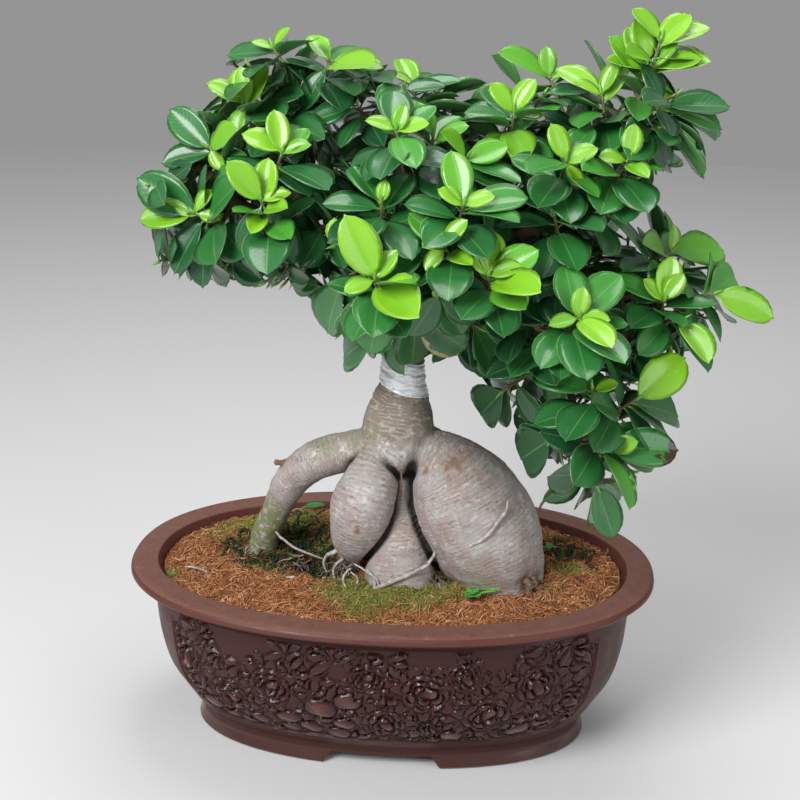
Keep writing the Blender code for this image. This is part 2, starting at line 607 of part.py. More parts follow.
def leaf_points(base, direction, facing, length, width, thickness, grow=0.0):
    """The blade's eight corners: six round the edge, then the midrib's upper and lower point."""
    side = direction.cross(facing).normalized()
    normal = side.cross(direction).normalized()
    fold = FOLD * length
    droop = DROOP * length
    half = thickness / 2 + grow

    def at(t, across, lift):
        reach = length * t + (grow if t > 0.5 else 0.0)
        sideways = across * (width + 2 * grow)
        return base + direction * reach + side * sideways + normal * (lift - droop * t * t)

    edge = [at(0, 0, 0), at(0.33, -0.40, fold), at(0.72, -0.43, fold), at(1, 0, 0),
            at(0.72, 0.43, fold), at(0.33, 0.40, fold)]
    return edge + [at(0.52, 0, half), at(0.52, 0, -half)]


UPPER_FACES = [(k, (k + 1) % 6, 6) for k in range(6)]
LEAF_FACES = UPPER_FACES + [(b, a, 7) for a, b, _ in UPPER_FACES]


def twig_points(a, b, c, d):
    """Points evenly along the Bezier curve from a to d."""
    points = []
    for k in range(TWIG_STEPS + 1):
        t = k / TWIG_STEPS
        u = 1 - t
        points.append(a * u ** 3 + b * 3 * u * u * t + c * 3 * u * t * t + d * t ** 3)
    return points


def branch_points():
    """Points along the branches that can carry a twig, each with its radius."""
    found = []
    for name, knots in BRANCHES.items():
        if name == "scion":
            continue
        for a, b in zip(knots, knots[1:]):
            start = Vector(a[:3])
            end = Vector(b[:3])
            along = (end - start).normalized()
            for step in range(PLACES_A_SPAN):
                t = step / PLACES_A_SPAN
                radius = a[3] + (b[3] - a[3]) * t
                if radius <= THICKEST_FOR_TWIGS:
                    found.append((start.lerp(end, t), along, radius, False))
        found.append((end, along, 0.0, True))
    return found


def twig_curve(tip, heading, place, trunk_tree):
    """Curve to the shoot's tip, drawn in until its foot is a hair's breadth off the branch."""
    centre, along, radius, at_end = place
    toward = tip - heading * TWIG_REACH * 0.6 - centre
    out = along if at_end else (toward - along * toward.dot(along)).normalized()
    lift = radius + GAP + TWIG_RADIUS
    for _ in range(SEATING_STEPS):
        start = centre + out * lift
        span = (tip - start).length
        curve = twig_points(start, start + out * 0.3 * span, tip - heading * 0.4 * span, tip)
        foot = tube_rings(curve[:2], [TWIG_RADIUS] * 2, TWIG_SIDES)[0] + [start]
        lift -= min(trunk_tree.find_nearest(Vector(point))[3] for point in foot) - GAP
    return curve


def side_twig_curve(leader, tip, heading):
    """Curve of a side shoot that grows from the middle of its leader."""
    start = leader[0].lerp(leader[1], SIDE_TWIG_START)
    span = (tip - start).length
    first = (leader[1] - leader[0]).normalized()
    return twig_points(start, start + first * 0.25 * span, tip - heading * 0.4 * span, tip)


def twig_mesh(path):
    radii = [TWIG_RADIUS + (TWIG_TIP_RADIUS - TWIG_RADIUS) * k / TWIG_STEPS for k in range(TWIG_STEPS + 1)]
    return loft(tube_rings(path, radii, TWIG_SIDES), tuple(path[0]), tuple(path[-1]))


def point_on(path, back):
    """Point a given distance down the twig from its tip."""
    for a, b in zip(path[::-1], path[::-1][1:]):
        step = (b - a).length
        if back <= step:
            return a.lerp(b, back / step)
        back -= step
    return path[1].copy()


def heading_of(shoot_tip):
    """Stem direction of a shoot on the back half: outwards and up."""
    out = Vector(shoot_tip) - Vector((25, 0, 320))
    out.z *= 0.6
    return (out.normalized() + Vector((0, 0.15, 0.45))).normalized()


def leaves_of(kind, shoot, heading):
    """A shoot's leaves as (direction for a try, length, age), from the tip down."""
    rows = []
    if kind == "front":
        for angle, length, age in shoot[2]:
            rows.append((leaf_on_front(heading, angle, length, age), age))
        return rows
    for i in range(BACK_LEAVES):
        age = 4 + i * 4 / (BACK_LEAVES - 1)
        rows.append(((GOLDEN_ANGLE * i, spread(age), 26 + 3.5 * i), age))
    return rows


def leaf_direction(kind, heading, row, turn):
    first, second, length = row
    if kind == "front":
        return view_direction(first + turn[0], second + turn[1]), length * turn[2]
    side = heading.orthogonal().normalized()
    up = heading.cross(side)
    a = math.radians(first + 1.5 * turn[0])
    b = math.radians(second + turn[1])
    out = side * math.cos(a) + up * math.sin(a)
    return heading * math.cos(b) + out * math.sin(b), length * turn[2]


def plan_stems():
    """Each leafy stem as a list of shoots: (kind, data, tip, heading)."""
    stems = []
    for number, shoot in enumerate(FRONT_SHOOTS, 1):
        stem = [shoot] + SIDE_SHOOTS.get(number, [])
        stems.append([("front", row, Vector(row[0]), view_direction(*row[1])) for row in stem])
    for group in BACK_STEMS:
        stems.append([("back", tip, Vector(tip), heading_of(tip)) for tip in group])
    return stems


def crosses(tree, others):
    return any(tree.overlap(other) for other in others)


def plan_twigs(stems, trunk_tree):
    """Twig curves that stay clear of the trunk and of each other."""
    places = branch_points()
    planned = []
    trees = []
    for stem in stems:
        _, _, tip, heading = stem[0]
        base = tip - heading * TWIG_REACH
        order = sorted(places, key=lambda place: (place[0] - base).length + 0.5 * abs(place[2] - 3))
        for place in order[:PLACES_TRIED]:
            curve = twig_curve(tip, heading, place, trunk_tree)
            tree = BVHTree.FromPolygons(*twig_mesh(curve))
            if not crosses(tree, [trunk_tree] + trees):
                break
        curves = [curve]
        own = [tree]
        for _, _, side_tip, side_heading in stem[1:]:
            side = side_twig_curve(curve, side_tip, side_heading)
            curves.append(side)
            own.append(BVHTree.FromPolygons(*twig_mesh(side)))
        trees += own
        planned.append((curves, own))
    return planned


def plan_leaves(stems, twigs, trunk_tree):
    """Each stem's leaves, every one clear of the trunk, the twigs and the leaves before it."""
    placed = []
    result = [[] for _ in stems]
    for number, stem in enumerate(stems):
        for which, (kind, shoot, tip, heading) in enumerate(stem):
            path = twigs[number][0][which]
            for i, (row, age) in enumerate(leaves_of(kind, shoot, heading)):
                draw = random.Random(1000 * number + 100 * which + i)
                width_share = 0.50 + 0.018 * age + draw.uniform(-0.03, 0.05)
                spin = draw.uniform(-0.25, 0.25)
                base = point_on(path, 1.5 + LEAF_SPACING * i)
                for turn in TRIES:
                    direction, length = leaf_direction(kind, heading, row, turn)
                    facing = heading + 0.3 * Vector((0, 0, 1)) + spin * heading.cross(direction)
                    width = width_share * length
                    grown = leaf_points(base, direction, facing, length, width, BLADE_THICKNESS, CLEAR)
                    if clear_of_all(grown, base, length, number, placed, twigs, trunk_tree):
                        corners = leaf_points(base, direction, facing, length, width, BLADE_THICKNESS)
                        full, outer = leaf_trees(corners)
                        placed.append((base + direction * length / 2, length, number, full, outer))
                        result[number].append(corners)
                        break
    return result


def leaf_trees(corners):
    """Search trees of the whole blade, and of the blade without its root."""
    outer = [corners[0].lerp(corners[3], ROOT_SHARE)] + corners[1:]
    return BVHTree.FromPolygons(corners, LEAF_FACES), BVHTree.FromPolygons(outer, LEAF_FACES)


def clear_of_all(grown, base, length, number, placed, twigs, trunk_tree):
    full, outer = leaf_trees(grown)
    if full.overlap(trunk_tree):
        return False
    middle = (grown[0] + grown[3]) / 2
    for centre, other_length, owner, other_full, other_outer in placed:
        if (centre - middle).length > 0.5 * (length + other_length) + 6:
            continue
        if owner == number:
            if outer.overlap(other_outer):
                return False
        elif full.overlap(other_full):
            return False
    for owner, (_, trees) in enumerate(twigs):
        blade = outer if owner == number else full
        if crosses(blade, trees):
            return False
    return True


def make_leafy_stem(name, curves, leaves, material):
    points, faces = twig_mesh(curves[0])
    stem = make_object(name, points, faces, material)
    others = []
    for curve in curves[1:]:
        others.append(make_object("side twig", *twig_mesh(curve), material))
    for corners in leaves:
        others.append(make_object("leaf", corners, LEAF_FACES, material))
    boolean(stem, others, "UNION", "MANIFOLD")
    shade(stem, 40)
    return stem


def centre_on_origin(pieces):
    """Hangs every piece on an empty that puts the whole plant's middle over the origin."""
    low = [math.inf] * 2
    high = [-math.inf] * 2
    for piece in pieces:
        for vertex in piece.data.vertices:
            for axis in (0, 1):
                low[axis] = min(low[axis], vertex.co[axis])
                high[axis] = max(high[axis], vertex.co[axis])
    middle = bpy.data.objects.new("plant", None)
    bpy.context.scene.collection.objects.link(middle)
    middle.location = (-(low[0] + high[0]) / 2, -(low[1] + high[1]) / 2, 0)
    for piece in pieces:
        piece.parent = middle


def main():
    for piece in list(bpy.data.objects):
        bpy.data.objects.remove(piece)
    stoneware = make_material("stoneware", (0.11, 0.05, 0.038), 0.42)
    plastic = make_material("drain mesh", (0.04, 0.16, 0.07), 0.5)
    earth = make_material("coir soil", (0.24, 0.10, 0.045), 0.95)
    bark = make_material("fig bark", (0.40, 0.34, 0.28), 0.8)
    silver = make_material("graft tape", (0.72, 0.72, 0.74), 0.3)
    leaf = make_material("fig leaf", (0.05, 0.20, 0.035), 0.3)
    pot = make_pot(stoneware)
    trunk = make_trunk(bark)
    trunk_tree = tree_of(trunk)
    pieces = [pot, trunk, make_soil(trunk, earth), make_tape(trunk_tree, silver)]
    pieces.append(make_drain_mesh("drain_mesh_left", -DRAIN_HOLE_X, plastic))
    pieces.append(make_drain_mesh("drain_mesh_right", DRAIN_HOLE_X, plastic))
    stems = plan_stems()
    twigs = plan_twigs(stems, trunk_tree)
    leaves = plan_leaves(stems, twigs, trunk_tree)
    for number, stem in enumerate(stems):
        name = f"leafy_stem_{number + 1:02d}"
        pieces.append(make_leafy_stem(name, twigs[number][0], leaves[number], leaf))
    centre_on_origin(pieces)
    print("leaves:", sum(len(row) for row in leaves))


main()
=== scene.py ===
# Ginseng ficus in an oval stoneware pot: finish, relief, bark, foliage, soil, light and camera
# Lengths are in millimetres in the pot's own frame; placed() turns them into the scene's metres

import math
import random

import bmesh
import bpy
import numpy as np
from mathutils import Matrix, Vector, noise
from mathutils.bvhtree import BVHTree
from mathutils.kdtree import KDTree


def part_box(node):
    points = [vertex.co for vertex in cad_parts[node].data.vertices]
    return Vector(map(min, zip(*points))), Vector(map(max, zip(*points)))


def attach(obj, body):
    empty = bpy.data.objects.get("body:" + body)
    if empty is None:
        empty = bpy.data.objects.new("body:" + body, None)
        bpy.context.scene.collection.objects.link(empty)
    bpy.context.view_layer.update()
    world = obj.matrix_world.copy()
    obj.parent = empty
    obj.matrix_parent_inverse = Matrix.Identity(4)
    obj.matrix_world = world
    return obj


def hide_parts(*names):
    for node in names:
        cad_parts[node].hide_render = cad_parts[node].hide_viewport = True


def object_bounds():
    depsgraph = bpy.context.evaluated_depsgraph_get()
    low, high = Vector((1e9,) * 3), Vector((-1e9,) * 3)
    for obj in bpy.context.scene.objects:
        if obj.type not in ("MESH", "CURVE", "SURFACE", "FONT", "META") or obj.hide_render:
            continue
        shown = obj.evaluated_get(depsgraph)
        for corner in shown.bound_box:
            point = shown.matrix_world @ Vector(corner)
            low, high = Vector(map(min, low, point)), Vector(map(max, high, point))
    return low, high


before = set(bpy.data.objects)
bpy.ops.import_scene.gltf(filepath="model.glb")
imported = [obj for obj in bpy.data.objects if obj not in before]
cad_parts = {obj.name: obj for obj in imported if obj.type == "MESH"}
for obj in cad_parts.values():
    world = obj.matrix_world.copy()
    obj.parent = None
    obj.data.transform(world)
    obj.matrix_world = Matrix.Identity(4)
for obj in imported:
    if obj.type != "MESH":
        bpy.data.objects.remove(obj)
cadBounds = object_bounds()
scene = bpy.context.scene
mm = 0.001
potLow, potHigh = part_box("pot")
plantShift = Vector(((potLow.x + potHigh.x) / 2, (potLow.y + potHigh.y) / 2, 0)) / mm


def placed(points):
    return (np.asarray(points, float).reshape(-1, 3) + np.array(plantShift)) * mm


# Camera and the way back from a place on the plant to the picture

view = {
    "turn": 4.9,
    "rise": 20.0,
    "roll": 0.59,
    "distance": 940.0,
    "lens": 67.23,
    "across": 4.6,
    "height": 226.7,
    # The picture's side and the focal length in its pixels
    "pictureSide": 800,
    "focal": 1494.0,
}


def setUpCamera():
    a = math.radians(view["turn"])
    e = math.radians(view["rise"])
    back = Vector((math.sin(a) * math.cos(e), -math.cos(a) * math.cos(e), math.sin(e)))
    right = Vector((math.cos(a), math.sin(a), 0))
    up = back.cross(right)
    eye = right * view["across"] + Vector((0, 0, view["height"])) + back * view["distance"]
    data = bpy.data.cameras.new("camera")
    data.lens = view["lens"]
    data.sensor_width = 36
    data.clip_start = 0.01
    camera = bpy.data.objects.new("camera", data)
    scene.collection.objects.link(camera)
    basis = Matrix((right, up, back)).transposed().to_4x4()
    spin = Matrix.Rotation(math.radians(view["roll"]), 4, "Z")
    camera.matrix_world = Matrix.Translation((eye + plantShift) * mm) @ basis @ spin
    scene.camera = camera
    return eye, right, up, back


eye, viewRight, viewUp, viewBack = setUpCamera()


def pictured(point):
    toPoint = Vector(point) - eye
    depth = -toPoint.dot(viewBack)
    x = view["focal"] * toPoint.dot(viewRight) / depth
    y = view["focal"] * toPoint.dot(viewUp) / depth
    roll = math.radians(view["roll"])
    half = view["pictureSide"] / 2
    return half + x * math.cos(roll) + y * math.sin(roll), half + x * math.sin(roll) - y * math.cos(roll)


# Mesh helpers

def newPiece(name, blocks, material, names, nodes):
    # A block is points, a list of face arrays, and one row of values for each point
    points = np.concatenate([placed(block[0]) for block in blocks])
    starts = np.cumsum([0] + [len(block[0]) for block in blocks])
    loops = []
    counts = []
    for start, block in zip(starts, blocks):
        for faces in block[1]:
            faces = np.asarray(faces, int)
            if len(faces):
                loops.append((faces + start).ravel())
                counts.append(np.full(len(faces), faces.shape[1]))
    loops = np.concatenate(loops)
    counts = np.concatenate(counts)
    mesh = bpy.data.meshes.new(name)
    mesh.vertices.add(len(points))
    mesh.vertices.foreach_set("co", points.astype(np.float32).ravel())
    mesh.loops.add(len(loops))
    mesh.loops.foreach_set("vertex_index", loops.astype(np.int32))
    mesh.polygons.add(len(counts))
    mesh.polygons.foreach_set("loop_start", np.concatenate([[0], np.cumsum(counts)[:-1]]).astype(np.int32))
    mesh.update(calc_edges=True)
    mesh.validate()
    mesh.shade_smooth()
    mesh.materials.append(material)
    values = np.concatenate([np.asarray(block[2], float).reshape(len(block[0]), -1) for block in blocks])
    for k, label in enumerate(names):
        layer = mesh.attributes.new(label, "FLOAT", "POINT")
        layer.data.foreach_set("value", values[:, k].astype(np.float32))
    piece = bpy.data.objects.new(name, mesh)
    scene.collection.objects.link(piece)
    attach(piece, "root")
    if nodes:
        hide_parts(*nodes)
    return piece


def applyModifiers(piece):
    graph = bpy.context.evaluated_depsgraph_get()
    mesh = bpy.data.meshes.new_from_object(piece.evaluated_get(graph))
    old = piece.data
    piece.modifiers.clear()
    piece.data = mesh
    bpy.data.meshes.remove(old)


def smoothStep(low, high, value):
    t = np.clip((value - low) / (high - low), 0, 1)
    return t * t * (3 - 2 * t)


def soften(rows, times=1):
    for _ in range(times):
        rows[1:-1] = 0.25 * rows[:-2] + 0.5 * rows[1:-1] + 0.25 * rows[2:]


def ringsOf(path, radii, sides):
    points = np.asarray(path, float)
    tangents = np.gradient(points, axis=0)
    tangents /= np.linalg.norm(tangents, axis=1)[:, None]
    side = np.array(Vector(tangents[0]).orthogonal().normalized())
    turns = 2 * math.pi * np.arange(sides) / sides
    rings = []
    for point, tangent, radius in zip(points, tangents, radii):
        side = side - tangent * side.dot(tangent)
        side /= np.linalg.norm(side)
        up = np.cross(tangent, side)
        rings.append(point + radius * (np.cos(turns)[:, None] * side + np.sin(turns)[:, None] * up))
    return rings


def ringQuads(count, sides):
    row = np.arange(sides)
    corners = np.column_stack([row, (row + 1) % sides, (row + 1) % sides + sides, row + sides])
    return np.concatenate([corners + k * sides for k in range(count - 1)])


def closedRings(rings, start, end):
    # Rings joined by quads, with a fan to the start point and another to the end point
    count = len(rings)
    sides = len(rings[0])
    row = np.arange(sides)
    ahead = (row + 1) % sides
    first = np.full(sides, count * sides)
    last = (count - 1) * sides
    fans = [np.column_stack([first, ahead, row]), np.column_stack([first + 1, last + row, last + ahead])]
    return np.concatenate([*rings, [start], [end]]), [ringQuads(count, sides), *fans]


def tubeBlock(path, radii, sides):
    # The third part of the block is each point's share of the way along
    rings = ringsOf(path, radii, sides)
    points, faces = closedRings(rings, path[0], path[-1])
    return points, faces, np.concatenate([np.repeat(np.linspace(0, 1, len(rings)), sides), [0, 1]])


def smoothPath(knots, steps):
    knots = [np.asarray(knot, float) for knot in knots]
    run = [2 * knots[0] - knots[1]] + knots + [2 * knots[-1] - knots[-2]]
    path = []
    for k in range(1, len(run) - 2):
        a, b, c, d = run[k - 1:k + 3]
        for step in range(steps):
            t = step / steps
            path.append(0.5 * (2 * b + (c - a) * t + (2 * a - 5 * b + 4 * c - d) * t * t
                               + (3 * b - a - 3 * c + d) * t ** 3))
    path.append(knots[-1])
    return np.array(path)


def pointTree(points):
    tree = KDTree(len(points))
    for i, point in enumerate(points):
        tree.insert(point, i)
    tree.balance()
    return tree


def noiseAt(points, size, seed=0.0):
    return np.array([noise.noise(Vector(p) / size + Vector((seed, 0, 0))) for p in points])


# Materials

class Finish:
    # A procedural material, painted layer by layer and fed to its Principled node

    def __init__(self, name, **sockets):
        self.material = bpy.data.materials.new(name)
        self.material.use_nodes = True
        self.tree = self.material.node_tree
        self.shader = self.tree.nodes["Principled BSDF"]
        self.colour = None
        for socket, value in sockets.items():
            self.shader.inputs[socket.replace("_", " ")].default_value = value

    def add(self, kind, inputs, output, **settings):
        node = self.tree.nodes.new(kind)
        for key, value in settings.items():
            setattr(node, key, value)
        for socket, value in inputs:
            if isinstance(value, bpy.types.NodeSocket):
                self.tree.links.new(value, node.inputs[socket])
            else:
                node.inputs[socket].default_value = value
        return node.outputs[output]

    def feed(self, value, socket):
        self.tree.links.new(value, self.shader.inputs[socket])

    def place(self, stretch=(1, 1, 1)):
        place = self.add("ShaderNodeTexCoord", [], "Object")
        if stretch == (1, 1, 1):
            return place
        return self.add("ShaderNodeMapping", [("Vector", place), ("Scale", stretch)], "Vector")

    def height(self):
        return self.add("ShaderNodeSeparateXYZ", [("Vector", self.place())], "Z")

    def attribute(self, name):
        return self.add("ShaderNodeAttribute", [], "Fac", attribute_name=name)

    def cloud(self, size, detail=4.0, roughness=0.55, stretch=(1, 1, 1)):
        # size is the width of a patch in millimetres
        inputs = [("Vector", self.place(stretch)), ("Scale", 1 / (size * mm)), ("Detail", detail),
                  ("Roughness", roughness)]
        return self.add("ShaderNodeTexNoise", inputs, "Fac")

    def cells(self, size):
        inputs = [("Vector", self.place()), ("Scale", 1 / (size * mm))]
        return self.add("ShaderNodeTexVoronoi", inputs, "Distance")

    def maths(self, operation, a, b=0.0, c=0.0):
        return self.add("ShaderNodeMath", [(0, a), (1, b), (2, c)], 0, operation=operation)

    def times(self, a, b):
        return self.maths("MULTIPLY", a, b)

    def plus(self, a, b):
        return self.maths("ADD", a, b)

    def timesPlus(self, a, b, c):
        return self.maths("MULTIPLY_ADD", a, b, c)

    def spread(self, value, low, high, toLow=0.0, toHigh=1.0):
        names = ("Value", "From Min", "From Max", "To Min", "To Max")
        inputs = zip(names, (value, low, high, toLow, toHigh))
        return self.add("ShaderNodeMapRange", inputs, "Result", interpolation_type="SMOOTHSTEP")

    def patches(self, size, detail, roughness, low, high, toLow=0.0, toHigh=1.0):
        return self.spread(self.cloud(size, detail, roughness), low, high, toLow, toHigh)

    def ramp(self, value, stops):
        result = self.add("ShaderNodeValToRGB", [("Fac", value)], "Color")
        elements = result.node.color_ramp.elements
        while len(elements) < len(stops):
            elements.new(0.5)
        for element, (position, colour) in zip(elements, stops):
            element.position = position
            element.color = (*colour, 1)
        return result

    def blend(self, share, first, second, way="MIX"):
        first, second = [(*colour, 1) if isinstance(colour, tuple) else colour for colour in (first, second)]
        inputs = [(0, share), (6, first), (7, second)]
        return self.add("ShaderNodeMix", inputs, 2, data_type="RGBA", blend_type=way)

    def tint(self, share, colour, strength=None):
        if strength:
            share = self.times(share, strength)
        self.colour = self.blend(share, self.colour, colour)

    def bump(self, layers):
        normal = None
        for height, strength, distance in layers:
            inputs = [("Height", height), ("Strength", strength), ("Distance", distance * mm)]
            if normal:
                inputs.append(("Normal", normal))
            normal = self.add("ShaderNodeBump", inputs, "Normal")
        self.feed(normal, "Normal")

    def done(self):
        self.feed(self.colour, "Base Color")
        return self.material


# Pot: the CAD profile, finely divided, with the relief panels cut in front and behind

pot = {
    "halfLength": 170.0,
    "halfWidth": 108.5,
    "ovalPower": 2.2,
    "widthTaper": 1.05,
    "outside": [(42, 0), (40.2, 1.4), (42.2, 6.5), (43.5, 12), (39, 18), (30, 33), (22, 48), (17.5, 66),
                (15.5, 84), (14.5, 107), (1.5, 111), (0, 114.5), (2, 117)],
    "inside": [(17, 117), (22.5, 106), (25, 75), (39, 32), (52, 17)],
    "footInside": [(54, 0), (55, 9.5)],
    "sharpCorners": {0, 9, 12},
    "archTop": 64.0,
    "archFoot": 78.0,
    "archHeight": 8.0,
    "holeRadius": 9.0,
    "holeX": 55.0,
    "underside": 9.5,
    "floorTop": 17.0,
    "panelInset": 17.5,
    "ground": (0.046, 0.013, 0.009),
    # Painted shade for the hollows of the relief
    "cavityShade": (0.006, 0.003, 0.0025),
    "clay": (0.062, 0.017, 0.011),
    # Painted highlight for the rim's rounded nose
    "noseHighlight": (0.105, 0.034, 0.024),
    "worn": (0.125, 0.036, 0.023),
    "rim": (0.185, 0.083, 0.063),
    "dust": (0.25, 0.145, 0.105),
    "grit": (0.34, 0.19, 0.12),
    "stain": (0.10, 0.042, 0.03),
    "speck": (0.02, 0.009, 0.008),
    "shineTint": (0.86, 0.92, 1.0, 1.0),
}

panel = {
    "low": 23.0,
    "high": 101.0,
    "halfTurn": 57.5,
    "step": 0.92,
    "frameWidth": 0.9,
    "frameHeight": 0.8,
    "cornerNotch": 10.0,
    "recess": 1.4,
    "moat": 1.9,
    "rows": 5,
    "bloom": 1.22,
    "seed": 11,
    # Stems as (start, end, lowest height), stones as (u, v, size), peonies as (u, v, size, turn)
    "stems": [(-145, -95, 18), (-20, 40, 8), (145, 70, 14), (20, -40, 24), (60, 110, 20)],
    "stones": [(-122, 14, 8), (-108, 9, 6.5), (-60, 20, 8), (-46, 12, 7), (-36, 34, 9), (-22, 20, 6.5),
               (-18, 42, 8), (50, 10, 7), (62, 16, 6), (96, 12, 7.5), (112, 18, 7), (-84, 12, 6),
               (22, 12, 6), (136, 12, 6)],
    "flowers": [(-132, 50, 10, 0.3), (-100, 30, 10.5, 1.2), (-68, 46, 10, 2.0), (4, 22, 10.5, 0.8),
                (30, 50, 11, 1.7), (70, 30, 11.5, 2.6), (100, 52, 10.5, 0.1), (126, 30, 10.5, 1.5),
                (-6, 60, 8, 2.2), (54, 62, 7.5, 0.6)],
}


def ovalRing(inset, turns):
    a = pot["halfLength"] - inset
    b = pot["halfWidth"] - pot["widthTaper"] * inset
    power = pot["ovalPower"]
    c = np.cos(turns)
    s = np.sin(turns)
    reach = (np.abs(c) ** power + np.abs(s) ** power) ** (-1 / power)
    return a * reach * c, b * reach * s


def levelRing(row, turns):
    x, y = ovalRing(row[0], turns)
    return np.column_stack([x, y, np.full(len(x), row[1])])


def ovalShare(x, y, halfLength, halfWidth):
    # How far out a place is, as a share of the way to an oval's edge
    power = pot["ovalPower"]
    return (np.abs(x / halfLength) ** power + np.abs(y / halfWidth) ** power) ** (1 / power)


def carve(height, u, v, shape):
    # One carved element: it cuts a moat round itself, then stands in it
    kind, u0, v0, a, b, turn, top = shape
    x = ((u - u0) * math.cos(turn) + (v - v0) * math.sin(turn)) / a
    y = (-(u - u0) * math.sin(turn) + (v - v0) * math.cos(turn)) / b
    # share is the way out from the element's middle to its edge
    if kind == "leaf":
        share = np.maximum(np.abs(y) / np.clip(1 - np.abs(x) ** 1.9, 1e-3, 1) ** 0.85, np.abs(x))
    else:
        share = (np.abs(x) ** 2.3 + np.abs(y) ** 2.3) ** (1 / 2.3)
    body = np.clip(1 - share ** (5 if kind == "stone" else 2.4), 0, 1) ** 0.5
    if kind == "leaf":
        body = body * (0.78 + 0.22 * x) - 0.22 * np.exp(-(y * b / 0.9) ** 2) * (share < 0.9)
    if kind == "petal":
        body = body * (0.45 + 0.55 * np.clip(x + 0.5, 0, 1) ** 1.5)
    if kind == "stone":
        body = body * (0.90 + 0.10 * np.cos(4 * x + 3 * y))
    moat = smoothStep(0.0, 1.0, (share - 1) * min(a, b) / panel["moat"])
    return np.where(share < 1, top * body, height * (0.05 + 0.95 * moat))


def leafFan(draw, u0, v0, count, size):
    aim = draw.uniform(0, 2 * math.pi)
    rows = []
    for k in range(count):
        turn = aim + 4.4 * k / count + draw.uniform(-0.2, 0.2)
        own = size * draw.uniform(0.85, 1.15)
        rows.append(("leaf", u0 + 0.9 * own * math.cos(turn), v0 + 0.9 * own * math.sin(turn), own,
                     own * draw.uniform(0.36, 0.5), turn, draw.uniform(2.6, 4.1)))
    return rows


# A peony's rounds as (kind, reach, count, first turn, half length, half width, height)
peonyRounds = [("leaf", 1.2, 7, 0.3, 0.6, 0.32, 2.6), ("petal", 0.70, 7, 2.8, 0.42, 0.44, 3.0),
               ("petal", 0.42, 5, 1.68, 0.42, 0.38, 3.6), ("petal", 0.18, 3, 0.72, 0.42, 0.30, 4.2)]


def reliefPlan(halfLength, top):
    # Peonies among leaves on gnarled stems, over stones and lines of water
    draw = random.Random(panel["seed"])
    shapes = []
    u0 = -halfLength
    while u0 < halfLength:
        shapes.append(("stone", u0, draw.uniform(1, 16), draw.uniform(10, 20), draw.uniform(1.5, 2.3),
                       draw.uniform(-0.12, 0.12), 1.7))
        u0 += draw.uniform(4, 8)
    for start, end, rise in panel["stems"]:
        count = round(abs(end - start) / 6)
        for k in range(count):
            t = (k + 0.5) / count
            u0 = start + (end - start) * t
            v0 = rise + 26 * t + 6 * math.sin(7 * t + start)
            turn = math.atan2(6 * 7 * math.cos(7 * t + start) / (end - start), 1)
            shapes.append(("stone", u0, v0, 5.2, 2.9 - 0.9 * t, turn, 2.8))
    rows = panel["rows"]
    for row in range(rows):
        v0 = 9 + (top - 17) * row / (rows - 1)
        u0 = -halfLength + draw.uniform(3, 9)
        while u0 < halfLength - 4:
            middle = (u0, v0 + draw.uniform(-4, 4))
            pick = draw.random()
            if pick < (0.50, 0.80, 0.94, 0.92, 0.66)[row]:
                shapes += leafFan(draw, *middle, draw.choice((5, 6, 7)), draw.uniform(6.4, 8.8))
            elif row < 2:
                size = draw.uniform(5.5, 8.5)
                shapes.append(("stone", *middle, size, size * draw.uniform(0.6, 0.8),
                               draw.uniform(-0.5, 0.5), 3.1))
            u0 += draw.uniform(13.5, 18)
    for u0, v0, size in panel["stones"]:
        shapes.append(("stone", u0, v0, 1.15 * size, size * draw.uniform(0.7, 0.9),
                       draw.uniform(-0.4, 0.4), 3.4))
    for u0, v0, size, spin in panel["flowers"]:
        size *= panel["bloom"]
        for kind, reach, count, first, long, wide, rise in peonyRounds:
            for k in range(count):
                turn = spin + 2 * math.pi * k / count + first
                shapes.append((kind, u0 + reach * size * math.cos(turn), v0 + reach * size * math.sin(turn),
                               long * size, wide * size, turn, rise))
    return shapes


def reliefHeight(u, v, halfLength, top):
    height = np.zeros_like(u)
    for shape in reliefPlan(halfLength, top):
        _, u0, v0, a, b, _, _ = shape
        reach = max(a, b) + 2
        near = (np.abs(u - u0) < reach) & (np.abs(v - v0) < reach)
        if near.any():
            height[near] = carve(height[near], u[near], v[near], shape)
    return height


def panelOffset(u, v, halfLength, top):
    edge = np.minimum(halfLength - np.abs(u), np.minimum(v, top - v))
    corner = np.hypot(halfLength - np.abs(u), np.minimum(v, top - v)) - panel["cornerNotch"]
    edge = np.minimum(edge, corner)
    ridge = panel["frameHeight"] * np.exp(-((edge + 0.4) / panel["frameWidth"]) ** 2)
    inside = smoothStep(0.3, 1.6, edge)
    raised = reliefHeight(u, v, halfLength, top) * smoothStep(1.0, 3.4, edge)
    blurred = raised.copy()
    for _ in range(5):
        soften(blurred)
        soften(blurred.T)
    # Painted shade mask: how far the blurred relief stands over each place, strongest in the hollows round
    # the elements
    cavityShade = np.clip(0.8 * (blurred - raised), 0, 1) * inside
    return ridge - panel["recess"] * inside + raised, raised, np.maximum(cavityShade, 0.25 * inside)


def potTurns():
    half = math.radians(panel["halfTurn"]) + 0.03
    coarse = np.linspace(half, math.pi - half, 26)[1:-1]
    front = -math.pi / 2 + np.linspace(-half, half, 400)
    back = math.pi / 2 + np.linspace(-half, half, 230)
    return np.concatenate([front, -math.pi / 2 + coarse, back, math.pi / 2 + coarse])


